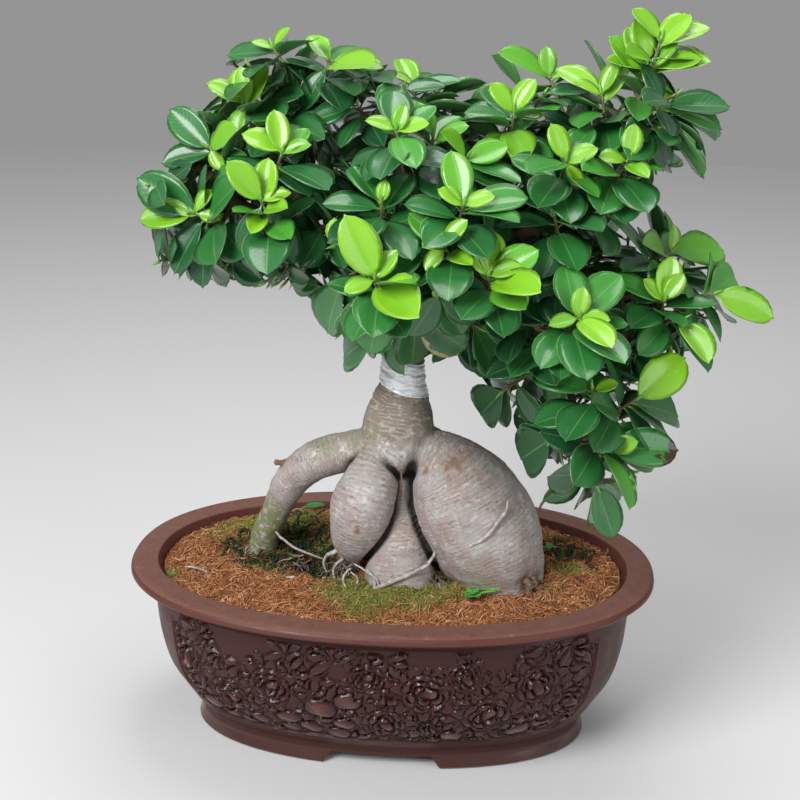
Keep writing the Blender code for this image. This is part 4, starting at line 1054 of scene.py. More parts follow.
# Shoots as (tip), (stem's clock angle, lean to the front), leaves as (clock angle, length, age)
frontShoots = [
    ((-75, 20, 440), (120, 10), [(175, 32, 8), (100, 24, 9), (20, 19, 7), (215, 22, 8)]),
    ((-40, 10, 435), (90, 15), [(120, 20, 2), (355, 31, 1), (50, 27, 6), (150, 25, 8), (330, 29, 8),
      (305, 23, 9), (25, 29, 8)]),
    ((-90, 0, 410), (120, 20), [(112, 21, 1), (65, 23, 1), (350, 25, 8), (20, 29, 9)]),
    ((-110, -10, 385), (150, 20), [(30, 21, 2), (148, 24, 4), (166, 46, 8), (185, 27, 7), (310, 21, 6),
      (60, 25, 8), (235, 25, 9)]),
    ((-115, -30, 350), (165, 25), [(183, 32, 1), (165, 17, 1), (95, 28, 7), (50, 30, 7), (156, 43, 8),
      (270, 30, 8), (222, 44, 8), (305, 27, 8)]),
    ((-70, -60, 365), (100, 45), [(130, 25, 1), (84, 24, 1), (5, 16, 1), (238, 16, 1), (178, 20, 4),
      (325, 21, 5), (272, 35, 8), (40, 22, 8)]),
    ((-60, -45, 390), (80, 35), [(100, 23, 1), (55, 22, 4), (70, 25, 7), (340, 31, 8), (300, 24, 8),
      (200, 24, 8), (150, 22, 9)]),
    ((5, -50, 405), (90, 40), [(95, 27, 7), (300, 26, 5), (50, 24, 6), (245, 26, 8), (215, 24, 8),
      (180, 27, 9), (350, 24, 9)]),
    ((0, -80, 370), (95, 40), [(120, 28, 7), (170, 29, 8), (60, 23, 7), (225, 25, 8), (300, 28, 8),
      (195, 25, 9), (20, 23, 8)]),
    ((10, 15, 420), (85, 0), [(110, 22, 1), (45, 29, 5), (75, 27, 5), (150, 28, 4), (20, 24, 5),
      (5, 36, 7), (190, 29, 8), (335, 28, 8)]),
    ((70, -10, 410), (95, 30), [(60, 16, 1), (12, 26, 5), (115, 22, 7), (172, 20, 6), (285, 25, 2),
      (215, 21, 2), (335, 22, 6), (40, 27, 8)]),
    ((25, -35, 400), (80, 30), [(110, 21, 3), (25, 18, 3), (150, 21, 6), (60, 24, 6), (330, 24, 7),
      (200, 24, 8), (285, 24, 8)]),
    ((45, -45, 390), (60, 35), [(135, 20, 2), (25, 24, 3), (350, 30, 6), (275, 19, 6), (315, 25, 7),
      (180, 26, 8), (215, 24, 8), (70, 23, 7)]),
    ((90, 25, 425), (110, 0), [(150, 30, 3), (30, 19, 4), (190, 26, 6), (215, 23, 7), (350, 26, 8),
      (60, 26, 8)]),
    ((120, 0, 420), (110, 10), [(140, 29, 1), (105, 21, 1), (65, 24, 1), (158, 25, 4), (205, 26, 6),
      (265, 23, 7), (330, 24, 7), (25, 25, 8)]),
    ((145, 5, 435), (80, 15), [(112, 25, 1), (30, 30, 1), (50, 28, 1), (125, 28, 2), (62, 37, 2),
      (80, 22, 1), (140, 25, 4), (245, 24, 5), (300, 25, 6), (190, 25, 6)]),
    ((155, -10, 415), (50, 5), [(350, 39, 7), (15, 32, 7), (335, 29, 8), (318, 40, 8), (305, 27, 8),
      (120, 25, 7), (240, 27, 8)]),
    ((135, -40, 390), (70, 40), [(95, 16, 1), (325, 16, 2), (60, 19, 5), (5, 20, 5), (180, 25, 5),
      (310, 28, 8), (240, 24, 7), (140, 22, 6), (285, 26, 8)]),
    ((100, -50, 390), (90, 40), [(195, 25, 6), (60, 23, 6), (350, 25, 5), (20, 26, 6), (230, 24, 8),
      (150, 24, 7), (280, 24, 8)]),
    ((95, -55, 360), (100, 30), [(112, 28, 8), (0, 31, 8), (175, 30, 8), (60, 21, 7), (290, 24, 8),
      (235, 24, 8), (140, 27, 8)]),
    ((125, -40, 360), (30, 20), [(322, 34, 8), (345, 24, 8), (40, 22, 7), (285, 27, 9), (110, 24, 8),
      (200, 24, 9)]),
    ((45, -80, 370), (80, 40), [(100, 29, 3), (15, 32, 6), (355, 27, 6), (70, 21, 6), (160, 25, 7),
      (215, 24, 7), (310, 25, 8), (270, 23, 8)]),
    ((35, -90, 350), (110, 45), [(135, 24, 4), (165, 18, 1), (330, 16, 1), (320, 28, 4), (265, 23, 8),
      (20, 23, 7), (205, 24, 8), (75, 23, 8)]),
    ((60, -95, 335), (80, 45), [(95, 25, 1), (35, 27, 3), (355, 29, 1), (108, 21, 3), (330, 23, 3),
      (215, 20, 8), (285, 21, 8), (60, 31, 7), (160, 21, 8)]),
    ((165, -10, 330), (40, 10), [(10, 36, 3), (165, 27, 2), (45, 25, 5), (310, 26, 6), (190, 27, 7),
      (75, 22, 7), (250, 25, 8)]),
    ((160, -45, 310), (80, 40), [(80, 24, 1), (150, 29, 6), (118, 26, 6), (10, 29, 7), (200, 22, 7),
      (300, 24, 7), (250, 24, 8), (45, 30, 8)]),
    ((190, -25, 310), (15, 15), [(342, 36, 1), (30, 28, 5), (60, 24, 5), (346, 32, 7), (310, 24, 7),
      (290, 29, 8), (150, 27, 8), (110, 22, 7), (210, 24, 8)]),
    ((110, -100, 315), (85, 50), [(318, 24, 1), (100, 29, 6), (50, 34, 6), (325, 32, 7), (285, 32, 7),
      (218, 25, 7), (150, 25, 8), (15, 30, 7), (255, 25, 8)]),
    ((170, -50, 300), (40, 30), [(295, 27, 1), (20, 26, 6), (318, 33, 8), (200, 24, 7), (240, 30, 8),
      (345, 29, 8), (100, 21, 8)]),
    ((145, -75, 260), (30, 30), [(40, 36, 1), (354, 32, 8), (335, 27, 8), (310, 25, 9), (100, 25, 8),
      (160, 23, 8), (240, 25, 8)]),
    ((120, -90, 270), (110, 40), [(160, 31, 7), (315, 25, 7), (130, 26, 6), (225, 26, 8), (60, 25, 8),
      (190, 30, 8), (280, 26, 8)]),
    ((130, -90, 235), (10, 35), [(0, 42, 8), (35, 27, 7), (302, 32, 4), (240, 25, 8), (335, 27, 8),
      (85, 23, 8), (150, 23, 9)]),
    ((125, -80, 210), (300, 25), [(295, 36, 8), (320, 31, 8), (265, 26, 8), (190, 25, 9), (225, 28, 9),
      (20, 25, 8)]),
    ((100, -65, 230), (215, 25), [(218, 33, 9), (195, 32, 9), (240, 29, 9), (262, 32, 9), (165, 28, 9),
      (110, 23, 9), (320, 23, 9)]),
    ((70, -40, 250), (215, 10), [(225, 31, 9), (245, 30, 9), (205, 27, 9), (300, 24, 9), (160, 24, 9),
      (20, 27, 9)]),
    ((0, -110, 335), (100, 50), [(125, 35, 1), (100, 25, 1), (325, 31, 1), (5, 31, 4), (265, 29, 7),
      (48, 26, 7), (228, 26, 7), (165, 25, 7), (300, 27, 8), (20, 22, 8)]),
    ((35, -90, 320), (290, 45), [(75, 17, 1), (340, 29, 8), (240, 23, 8), (300, 26, 8), (200, 23, 8),
      (30, 23, 8), (100, 21, 8)]),
    ((-25, -80, 345), (190, 35), [(80, 17, 2), (215, 31, 1), (178, 23, 6), (235, 21, 6), (140, 25, 8),
      (270, 23, 8), (110, 28, 8)]),
    ((-25, -60, 320), (215, 20), [(245, 32, 7), (215, 29, 7), (232, 36, 8), (262, 27, 8), (190, 24, 8),
      (290, 26, 8)]),
    ((-5, -50, 285), (215, 25), [(205, 38, 8), (190, 31, 9), (165, 26, 9), (250, 25, 8), (290, 24, 9)]),
    ((20, -75, 305), (290, 35), [(305, 32, 8), (342, 29, 8), (276, 31, 8), (225, 25, 8), (260, 24, 8),
      (10, 28, 8)]),
    ((55, -60, 295), (320, 30), [(352, 33, 8), (20, 27, 8), (325, 31, 8), (300, 28, 9), (200, 26, 9),
      (150, 24, 9), (250, 27, 9)]),
]

sideShoots = {
    16: [((152, 6, 451), (75, 10), [(125, 22, 1), (25, 28, 1), (42, 26, 1), (85, 20, 1), (5, 22, 2),
                                    (170, 22, 2)])],
    36: [((2, -92, 322), (250, 30), [(265, 30, 7), (228, 30, 7), (300, 30, 8), (200, 28, 8)])],
}

backStems = [
    [(-120, 30, 375), (-95, 50, 402), (-132, 38, 345)],
    [(-85, 75, 360), (-60, 82, 388), (-66, 56, 418)],
    [(-96, 55, 326), (-62, 72, 332), (-72, 88, 348)],
    [(-30, 58, 404), (-8, 82, 380), (-36, 92, 356)],
    [(22, 52, 414), (42, 78, 392), (12, 96, 368)],
    [(-16, 80, 326), (18, 92, 334), (2, 62, 304)],
    [(76, 44, 416), (92, 70, 394), (60, 86, 372)],
    [(126, 38, 424), (148, 28, 404), (114, 64, 402)],
    [(44, 82, 328), (76, 92, 342), (58, 62, 300)],
    [(108, 78, 354), (142, 52, 366), (132, 70, 334)],
    [(166, 30, 324), (194, 6, 318), (176, 34, 300)],
    [(104, 60, 288), (132, 40, 268), (152, 18, 286)],
]

# Turns that a leaf may take from its own place, as (angle, lean, share of its length)
leafTries = [(0, 0, 1.0), (10, 8, 0.95), (-10, 8, 0.95), (10, -12, 0.92), (-10, -12, 0.92),
             (20, 16, 0.88), (-20, 16, 0.88), (0, 30, 0.85), (28, -20, 0.8), (-28, -20, 0.8)]

# Leaves added at the shoot tips, by the shoot's number, as (clock angle, length, age)
addedLeaves = {
    1: [(55, 14, 1), (160, 13, 1), (175, 27, 8), (285, 24, 8.5), (335, 27, 8.5)],
    2: [(356, 29, 1.5), (340, 33, 8.5), (235, 27, 8.5)],
    3: [(150, 22, 1), (250, 18, 2), (50, 21, 1), (100, 22, 1), (320, 15, 2), (20, 27, 8)],
    4: [(40, 16, 2), (300, 14, 1), (137, 34, 8), (185, 30, 8)],
    5: [(60, 15, 1), (350, 14, 1), (151, 41, 8), (65, 26, 8.5), (235, 34, 9), (262, 36, 9.3)],
    6: [(20, 16, 1), (250, 28, 9), (300, 33, 8.5)], 7: [(150, 22, 1), (20, 16, 2)],
    8: [(160, 16, 1), (20, 17, 1), (75, 15, 2)], 9: [(80, 12, 1)], 10: [(150, 15, 1), (20, 26, 7)],
    11: [(60, 20, 1), (125, 20, 1), (5, 15, 2), (165, 26, 8)], 14: [(100, 17, 2), (30, 14, 1)],
    15: [(70, 18, 1), (150, 16, 1)],
    16: [(100, 26, 1), (12, 33, 1), (160, 22, 1), (55, 24, 2), (300, 26, 2)],
    17: [(8, 36, 8), (350, 34, 7), (318, 38, 9)], 18: [(80, 18, 1), (170, 15, 1)],
    19: [(110, 20, 1), (305, 15, 1), (30, 18, 1)], 22: [(20, 16, 1), (140, 15, 1)],
    23: [(50, 17, 1), (230, 15, 1)], 24: [(20, 17, 1), (120, 18, 1)], 25: [(80, 15, 1)],
    26: [(60, 17, 1), (130, 16, 1)], 28: [(0, 15, 1), (190, 15, 2), (80, 16, 1)], 31: [(20, 13, 1)],
    32: [(15, 16, 1), (2, 39, 7.5)], 33: [(291, 31, 8.5)], 36: [(200, 16, 1), (60, 18, 1), (330, 16, 1)],
    38: [(100, 14, 1)],
}


def viewDirection(angle, lean):
    a = math.radians(angle)
    b = math.radians(lean)
    return (viewRight * math.cos(a) + viewUp * math.sin(a)) * math.cos(b) + viewBack * math.sin(b)


def roundHeading(heading, turn, lean):
    side = heading.orthogonal().normalized()
    up = heading.cross(side)
    a = math.radians(turn)
    b = math.radians(lean)
    return heading * math.cos(b) + (side * math.cos(a) + up * math.sin(a)) * math.sin(b)


def leafSpread(age):
    return 30 + 5.5 * age


def frontLeaf(heading, angle, length, age):
    length *= foliage["stretch"]
    if age > 5:
        length = max(length, foliage["shortestOld"])
    lean = min(range(-55, 60, 5), key=lambda b: abs(
        math.degrees(heading.angle(viewDirection(angle, b))) - leafSpread(age)) + 0.12 * abs(b))
    return angle, lean, min(length / math.cos(math.radians(lean)), 1.25 * length, foliage["longest"])


def curvePoints(a, b, c, d):
    return [a * (1 - t) ** 3 + b * 3 * (1 - t) ** 2 * t + c * 3 * (1 - t) * t * t + d * t ** 3
            for t in (0, 0.5, 1)]


def branchPlaces():
    found = []
    for name, knots in branches.items():
        if name == "scion":
            continue
        for a, b in zip(knots, knots[1:]):
            start = Vector(a[:3])
            end = Vector(b[:3])
            along = (end - start).normalized()
            for step in range(8):
                t = step / 8
                radius = a[3] + (b[3] - a[3]) * t
                if radius <= foliage["thickestBranch"]:
                    found.append((start.lerp(end, t), along, radius, False))
        found.append((end, along, 0.0, True))
    return found


def twigCurve(tip, heading, place, tree):
    centre, along, radius, atEnd = place
    toward = tip - heading * foliage["twigReach"] * 0.6 - centre
    out = along if atEnd else (toward - along * toward.dot(along)).normalized()
    lift = radius + 0.35 + foliage["twigRadius"]
    for _ in range(6):
        start = centre + out * lift
        span = (tip - start).length
        curve = curvePoints(start, start + out * 0.3 * span, tip - heading * 0.4 * span, tip)
        rings = ringsOf([curve[0], curve[1]], [foliage["twigRadius"]] * 2, 3)
        foot = [Vector(point) for point in rings[0]] + [start]
        lift -= min(tree.find_nearest(point)[3] for point in foot) - 0.35
    return curve


def sideTwigCurve(leader, tip, heading):
    start = leader[0].lerp(leader[1], 0.8)
    span = (tip - start).length
    first = (leader[1] - leader[0]).normalized()
    return curvePoints(start, start + first * 0.25 * span, tip - heading * 0.4 * span, tip)


def pointOn(path, back):
    for a, b in zip(path[::-1], path[::-1][1:]):
        step = (b - a).length
        if back <= step:
            return a.lerp(b, back / step)
        back -= step
    return path[1].copy()


def backHeading(tip):
    out = Vector(tip) - Vector((25, 0, 320))
    out.z *= 0.6
    return (out.normalized() + Vector((0, 0.15, 0.45))).normalized()


def shootLeaves(kind, shoot, heading):
    if kind == "front":
        return [(frontLeaf(heading, angle, length, age), age) for angle, length, age in shoot[2]]
    return [((137.5 * i, leafSpread(4 + i * 4 / 3), 26 + 3.5 * i), 4 + i * 4 / 3) for i in range(4)]


def leafDirection(kind, heading, row, turn):
    first, second, length = row
    if kind == "front":
        return viewDirection(first + turn[0], second + turn[1]), length * turn[2]
    return roundHeading(heading, first + 1.5 * turn[0], second + turn[1]), length * turn[2]


def plannedStems():
    stems = []
    for number, shoot in enumerate(frontShoots, 1):
        rows = [shoot] + sideShoots.get(number, [])
        stems.append([("front", row, Vector(row[0]), viewDirection(*row[1])) for row in rows])
    for group in backStems:
        stems.append([("back", tip, Vector(tip), backHeading(tip)) for tip in group])
    return stems


def nodePoints(name):
    return [vertex.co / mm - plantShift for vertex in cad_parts[name].data.vertices]


def nodeTree(names):
    points = []
    faces = []
    for name in names:
        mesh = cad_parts[name].data
        mesh.calc_loop_triangles()
        first = len(points)
        points += nodePoints(name)
        faces += [tuple(k + first for k in face.vertices) for face in mesh.loop_triangles]
    return BVHTree.FromPolygons(points, faces)


def stemCurve(tip, heading, tree, corners):
    # The place on a branch whose twig foot is the CAD's own
    base = tip - heading * foliage["twigReach"]
    order = sorted(branchSpots, key=lambda place: (place[0] - base).length + 0.5 * abs(place[2] - 3))
    best = None
    for place in order[:60]:
        curve = twigCurve(tip, heading, place, tree)
        near = corners.find_range(curve[0], foliage["twigRadius"] + 0.06)
        count = len([1 for _, _, distance in near if distance > foliage["twigRadius"] - 0.06])
        if count >= 3:
            return curve
        if best is None:
            best = curve
    print("no foot found for the stem at", tuple(tip))
    return best


def leafBlade(base, direction, facing, length, width, age, draw, grid, damage=0.0):
    # Rings round a flat section from the leaf stalk to the tip, widest past the middle
    side = np.array(direction.cross(facing).normalized())
    normal = np.cross(side, np.array(direction))
    rows, columns = grid
    stalk = 0.10
    t = np.concatenate([[0, 0.05, stalk], stalk + (1 - stalk) * (0.5 - 0.5 * np.cos(
        math.pi * np.arange(1, rows + 1) / (rows + 0.35)))])
    u = np.clip((t - stalk) / (1 - stalk), 0, 1)
    power = 0.66 + 0.03 * age / 9
    tipCurve = foliage["tipCurve"]
    shape = u ** power * np.clip(1 - u, 0, 1) ** tipCurve
    peak = power / (power + tipCurve)
    shape /= peak ** power * (1 - peak) ** tipCurve
    broad = 0.50 + 0.09 * max(0, 1 - age / 4)
    half = np.maximum(broad * width * shape, 0.62 * (1 - u) + 0.12)
    s = np.linspace(-1, 1, columns)
    top = np.sin(np.arange(columns) / (columns - 1) * math.pi) ** 0.5
    around = np.concatenate([s, s[-2:0:-1]])
    skin = np.concatenate([top, -top[-2:0:-1]])
    under = np.concatenate([np.zeros(columns), np.ones(columns - 2)])
    phase = draw.uniform(0, 6.28)
    wave = draw.uniform(0.004, 0.014) * length
    cup = draw.uniform(0.06, 0.105) * (1.4 if age <= 2 else 1.0) * length
    bend = draw.uniform(-0.04, 0.04) * length
    twist = draw.uniform(-0.22, 0.22)
    thick = np.where(u > 0, 0.24 + 0.35 * np.exp(-u * 9), 0.55)
    tone = draw.random()
    rings = []
    for row in range(len(t)):
        level = u[row]
        hollow = math.sin(math.pi * min(1, level + 0.02)) ** 0.5 if level > 0 else 0
        lift = cup * np.abs(around) ** 1.5 * hollow
        lift = lift + wave * around ** 2 * np.sin(phase + 9 * t[row] + 1.5 * around)
        lift = lift - 0.13 * length * t[row] ** 2 + skin * thick[row] * (1.0 - 0.75 * level ** 6)
        lift = lift + around * half[row] * twist * t[row]
        lift = lift - 0.5 * np.exp(-(around / 0.16) ** 2) * (level > 0.05)
        sideways = around * half[row] + bend * t[row] ** 2
        forward = length * t[row] * np.ones(len(around))
        rings.append(np.array(base) + np.outer(forward, np.array(direction)) + np.outer(sideways, side)
                     + np.outer(lift, normal))
    tip = rings[-1].mean(0) + np.array(direction) * 0.035 * length - normal * 0.012 * length
    points, faces = closedRings(rings, np.array(base), tip)
    values = np.column_stack([
        np.concatenate([np.repeat(t, len(around)), [0, 1]]),
        np.concatenate([np.tile(around, len(t)), [0, 0]]),
        np.full(len(points), age / 10), np.full(len(points), tone),
        np.concatenate([np.tile(under, len(t)), [0, 0]]), np.full(len(points), damage),
    ])
    # The winding follows the side the blade faces
    return points, [part[:, ::-1] for part in faces], values


def twigBlock(curve, foot, thick, thin):
    knots = [np.array(curve[0]) - foot, np.array(curve[0]), np.array(curve[1]), np.array(curve[2])]
    rows = [knots[0]]
    for a, b in zip(knots[1:], knots[2:]):
        rows += [a + (b - a) * k / 6 for k in range(6)]
    rows.append(knots[-1])
    rows = np.array(rows)
    soften(rows[1:], 3)
    radii = np.linspace(thick, thin, len(rows))
    points, faces, along = tubeBlock(rows, radii, 6)
    # Along, and then the leaf values of a twig: an age over 1 stands for bark
    return points, faces, np.column_stack([along, np.tile((0, 1.2, 0.5, 0, 0), (len(points), 1))])


def budBlock(tip, heading, length):
    side = heading.orthogonal()
    path = [np.array(tip + heading * length * t + side * 0.12 * length * t * t)
            for t in (-0.1, 0.15, 0.45, 0.75, 1.0)]
    points, faces, _ = tubeBlock(path, [0.9, 1.15, 0.95, 0.5, 0.12], 6)
    return points, faces, np.tile((0, 0, 0.1, 0.5, 0, 0), (len(points), 1))


leafValues = ("along", "across", "age", "tone", "under", "damage")


def makeLeafyStems(material):
    trunkTree = nodeTree(["trunk"])
    missing = 0
    grown = 0
    for number, stem in enumerate(plannedStems()):
        node = "leafy_stem_%02d" % (number + 1)
        corners = pointTree(nodePoints(node))
        blocks = []
        leader = None
        for which, (kind, shoot, tip, heading) in enumerate(stem):
            if which == 0:
                curve = stemCurve(tip, heading, trunkTree, corners)
                leader = curve
                into = trunkTree.find_nearest(curve[0])[0] - curve[0]
                foot = -np.array(into.normalized()) * 2.6
            else:
                curve = sideTwigCurve(leader, tip, heading)
                foot = np.array((curve[1] - curve[0]).normalized()) * 1.5
            blocks.append(twigBlock(curve, foot, *foliage["twigTaper"]))
            draw = random.Random(70000 + 100 * number + which)
            blocks.append(budBlock(tip, heading, draw.uniform(5.5, 8.5)))
            for i, (row, age) in enumerate(shootLeaves(kind, shoot, heading)):
                sizes = random.Random(1000 * number + 100 * which + i)
                share = 0.50 + 0.018 * age + sizes.uniform(-0.03, 0.05)
                spin = sizes.uniform(-0.25, 0.25)
                base = pointOn(curve, 1.5 + 2.4 * i)
                for turn in leafTries:
                    direction, length = leafDirection(kind, heading, row, turn)
                    facing = heading + 0.3 * Vector((0, 0, 1)) + spin * heading.cross(direction)
                    side = direction.cross(facing).normalized()
                    end = base + direction * length - side.cross(direction) * 0.13 * length
                    if corners.find(end)[2] < 0.06:
                        break
                else:
                    missing += 1
                    continue
                damage = foliage["damaged"].get((number + 1, which, i), 0.0)
                if age <= 3:
                    facing = facing + foliage["towardView"] * viewBack
                blocks.append(leafBlade(base, direction, facing, length, share * length, age, draw,
                                        foliage["fineGrid"], damage))
                grown += 1
            for k, (angle, length, age) in enumerate(addedLeaves.get(number + 1, []) if which == 0 else []):
                young = age <= 3
                direction = viewDirection(angle, 15 if young else -4)
                facing = heading + 0.3 * Vector((0, 0, 1)) + 0.9 * viewBack
                base = pointOn(curve, 0.4 + (k if young else 1.6 * k))
                blocks.append(leafBlade(base, direction, facing, 1.1 * length, 0.62 * length, age, draw,
                                        foliage["youngGrid" if young else "fineGrid"],
                                        foliage["damaged"].get((number + 1, "added", k), 0.0)))
        newPiece("leafyStem.%02d" % (number + 1), blocks, material, leafValues, (node,))
    print("leafy stems made, leaves:", grown, "left out:", missing)


def leafMaterial():
    paint = Finish("fig leaf", Specular_IOR_Level=0.5, Coat_Weight=0.5, Coat_Roughness=0.16)
    along = paint.attribute("along")
    across = paint.attribute("across")
    age = paint.attribute("age")
    tone = paint.attribute("tone")
    under = paint.attribute("under")
    damage = paint.attribute("damage")
    width = paint.maths("ABSOLUTE", across)
    paint.colour = paint.ramp(age, foliage["colours"])
    patch = paint.cloud(11, 4)
    shade = paint.timesPlus(tone, 0.55, paint.timesPlus(patch, 0.5, -0.28))
    paint.tint(shade, paint.blend(1.0, paint.colour, foliage["shade"], "MULTIPLY"))
    paint.tint(paint.spread(width, 0.93, 0.99, 0, 0.65), foliage["margin"])
    rib = paint.spread(width, 0.055, 0.02)
    blade = paint.spread(along, 0.10, 0.16)
    paint.tint(rib, foliage["rib"], 0.38)
    slanted = paint.timesPlus(width, -3.2, paint.times(along, 12.0))
    vein = paint.maths("PINGPONG", slanted, 0.5)
    veinLine = paint.times(paint.spread(vein, 0.10, 0.0), blade)
    paint.tint(veinLine, foliage["rib"], 0.09)
    fleck = paint.spread(paint.cells(1.7), 0.10, 0.04, 0.0, 0.5)
    paint.tint(paint.times(fleck, paint.cloud(8, 2)), foliage["fleck"])
    paint.tint(paint.spread(under, 0.2, 0.7, 0, 0.85), foliage["under"])
    stalk = paint.maths("SUBTRACT", 1.0, blade)
    paint.tint(stalk, foliage["stalk"], 0.5)
    burn = paint.times(damage, paint.spread(paint.timesPlus(paint.cloud(7, 4), 0.8, along), 1.20, 1.32))
    paint.tint(paint.spread(burn, 0.05, 0.3), foliage["burn"])
    edge = paint.spread(paint.timesPlus(paint.cloud(5, 4), 0.5, across), 1.06, 1.18)
    pale = paint.times(paint.maths("SUBTRACT", 0.0, damage), edge)
    paint.tint(paint.spread(pale, 0.05, 0.3), foliage["paleEdge"])
    # Twigs are marked by an age over 1
    bark = paint.blend(paint.patches(4, 4, 0.55, 0.4, 0.6), foliage["twigBrown"], foliage["twigGreen"])
    paint.tint(paint.spread(age, 1.05, 1.15), bark)
    rough = paint.timesPlus(paint.cloud(6, 3), 0.25, 0.24)
    rough = paint.timesPlus(under, 0.25, rough)
    paint.feed(rough, "Roughness")
    ridge = paint.times(paint.spread(vein, 0.16, 0.0), blade)
    paint.bump([(paint.cloud(2.2, 3), 0.12, 0.3), (ridge, 0.22, 0.25), (rib, 0.25, 0.3)])
    return paint.done()


branchSpots = branchPlaces()
leafFinish = leafMaterial()
makeLeafyStems(leafFinish)


# Inner sprigs: dark older leaves that fill the crown behind the outer shoots

inner = {
    "seed": 23,
    # The part of the picture that is searched for gaps, and the search's step
    "columns": (110, 770),
    "lines": (10, 540),
    "step": 7,
    "sprigs": 150,
    "round": 70,
    # The least way in the picture between two filled gaps
    "spacing": 11,
    "depths": (-34, -18, -4, 10, 24, 38),
    "twigSpan": (7, 62),
    "leafLength": (25, 35),
    "ages": (8.0, 9.7),
    # The crown's outline in the picture
    "outline": [(146, 182), (176, 166), (205, 150), (196, 128), (178, 112), (206, 106), (236, 66),
                (282, 50), (334, 56), (378, 74), (404, 62), (440, 70), (456, 92), (500, 98), (545, 84),
                (592, 84), (616, 104), (636, 66), (660, 52), (682, 84), (706, 112), (684, 140), (676, 168),
                (640, 184), (606, 198), (592, 214), (618, 238), (662, 246), (702, 252), (724, 276),
                (736, 300), (706, 326), (682, 368), (664, 392), (662, 428), (640, 468), (616, 506),
                (592, 482), (562, 458), (524, 444), (500, 408), (498, 386), (470, 352), (440, 344),
                (384, 340), (346, 344), (326, 304), (298, 284), (262, 284), (216, 286), (176, 280),
                (152, 266), (150, 232)],
}


def insideOutline(x, y):
    inside = False
    outline = inner["outline"]
    for (xa, ya), (xb, yb) in zip(outline, outline[1:] + outline[:1]):
        if (ya > y) != (yb > y) and x < (xb - xa) * (y - ya) / (yb - ya) + xa:
            inside = not inside
    return inside


def sightLine(x, y):
    # Direction from the eye through a place in the picture
    roll = math.radians(view["roll"])
    half = view["pictureSide"] / 2
    a = (x - half) * math.cos(roll) + (y - half) * math.sin(roll)
    b = (x - half) * math.sin(roll) - (y - half) * math.cos(roll)
    return (viewRight * a / view["focal"] + viewUp * b / view["focal"] - viewBack).normalized()


def bladeTree(block):
    points, faces, _ = block
    return BVHTree.FromPolygons(points.tolist(), [face for part in faces for face in part.tolist()])


def nearestAround(tree, x, y):
    # How far off the nearest leaf is round about one place in the picture
    found = [0.0]
    for k in range(8):
        sight = sightLine(x + 15 * math.cos(0.785 * k), y + 15 * math.sin(0.785 * k))
        distance = tree.ray_cast(eye, sight)[3]
        if distance:
            found.append(distance)
    return min(found[1:] or found)


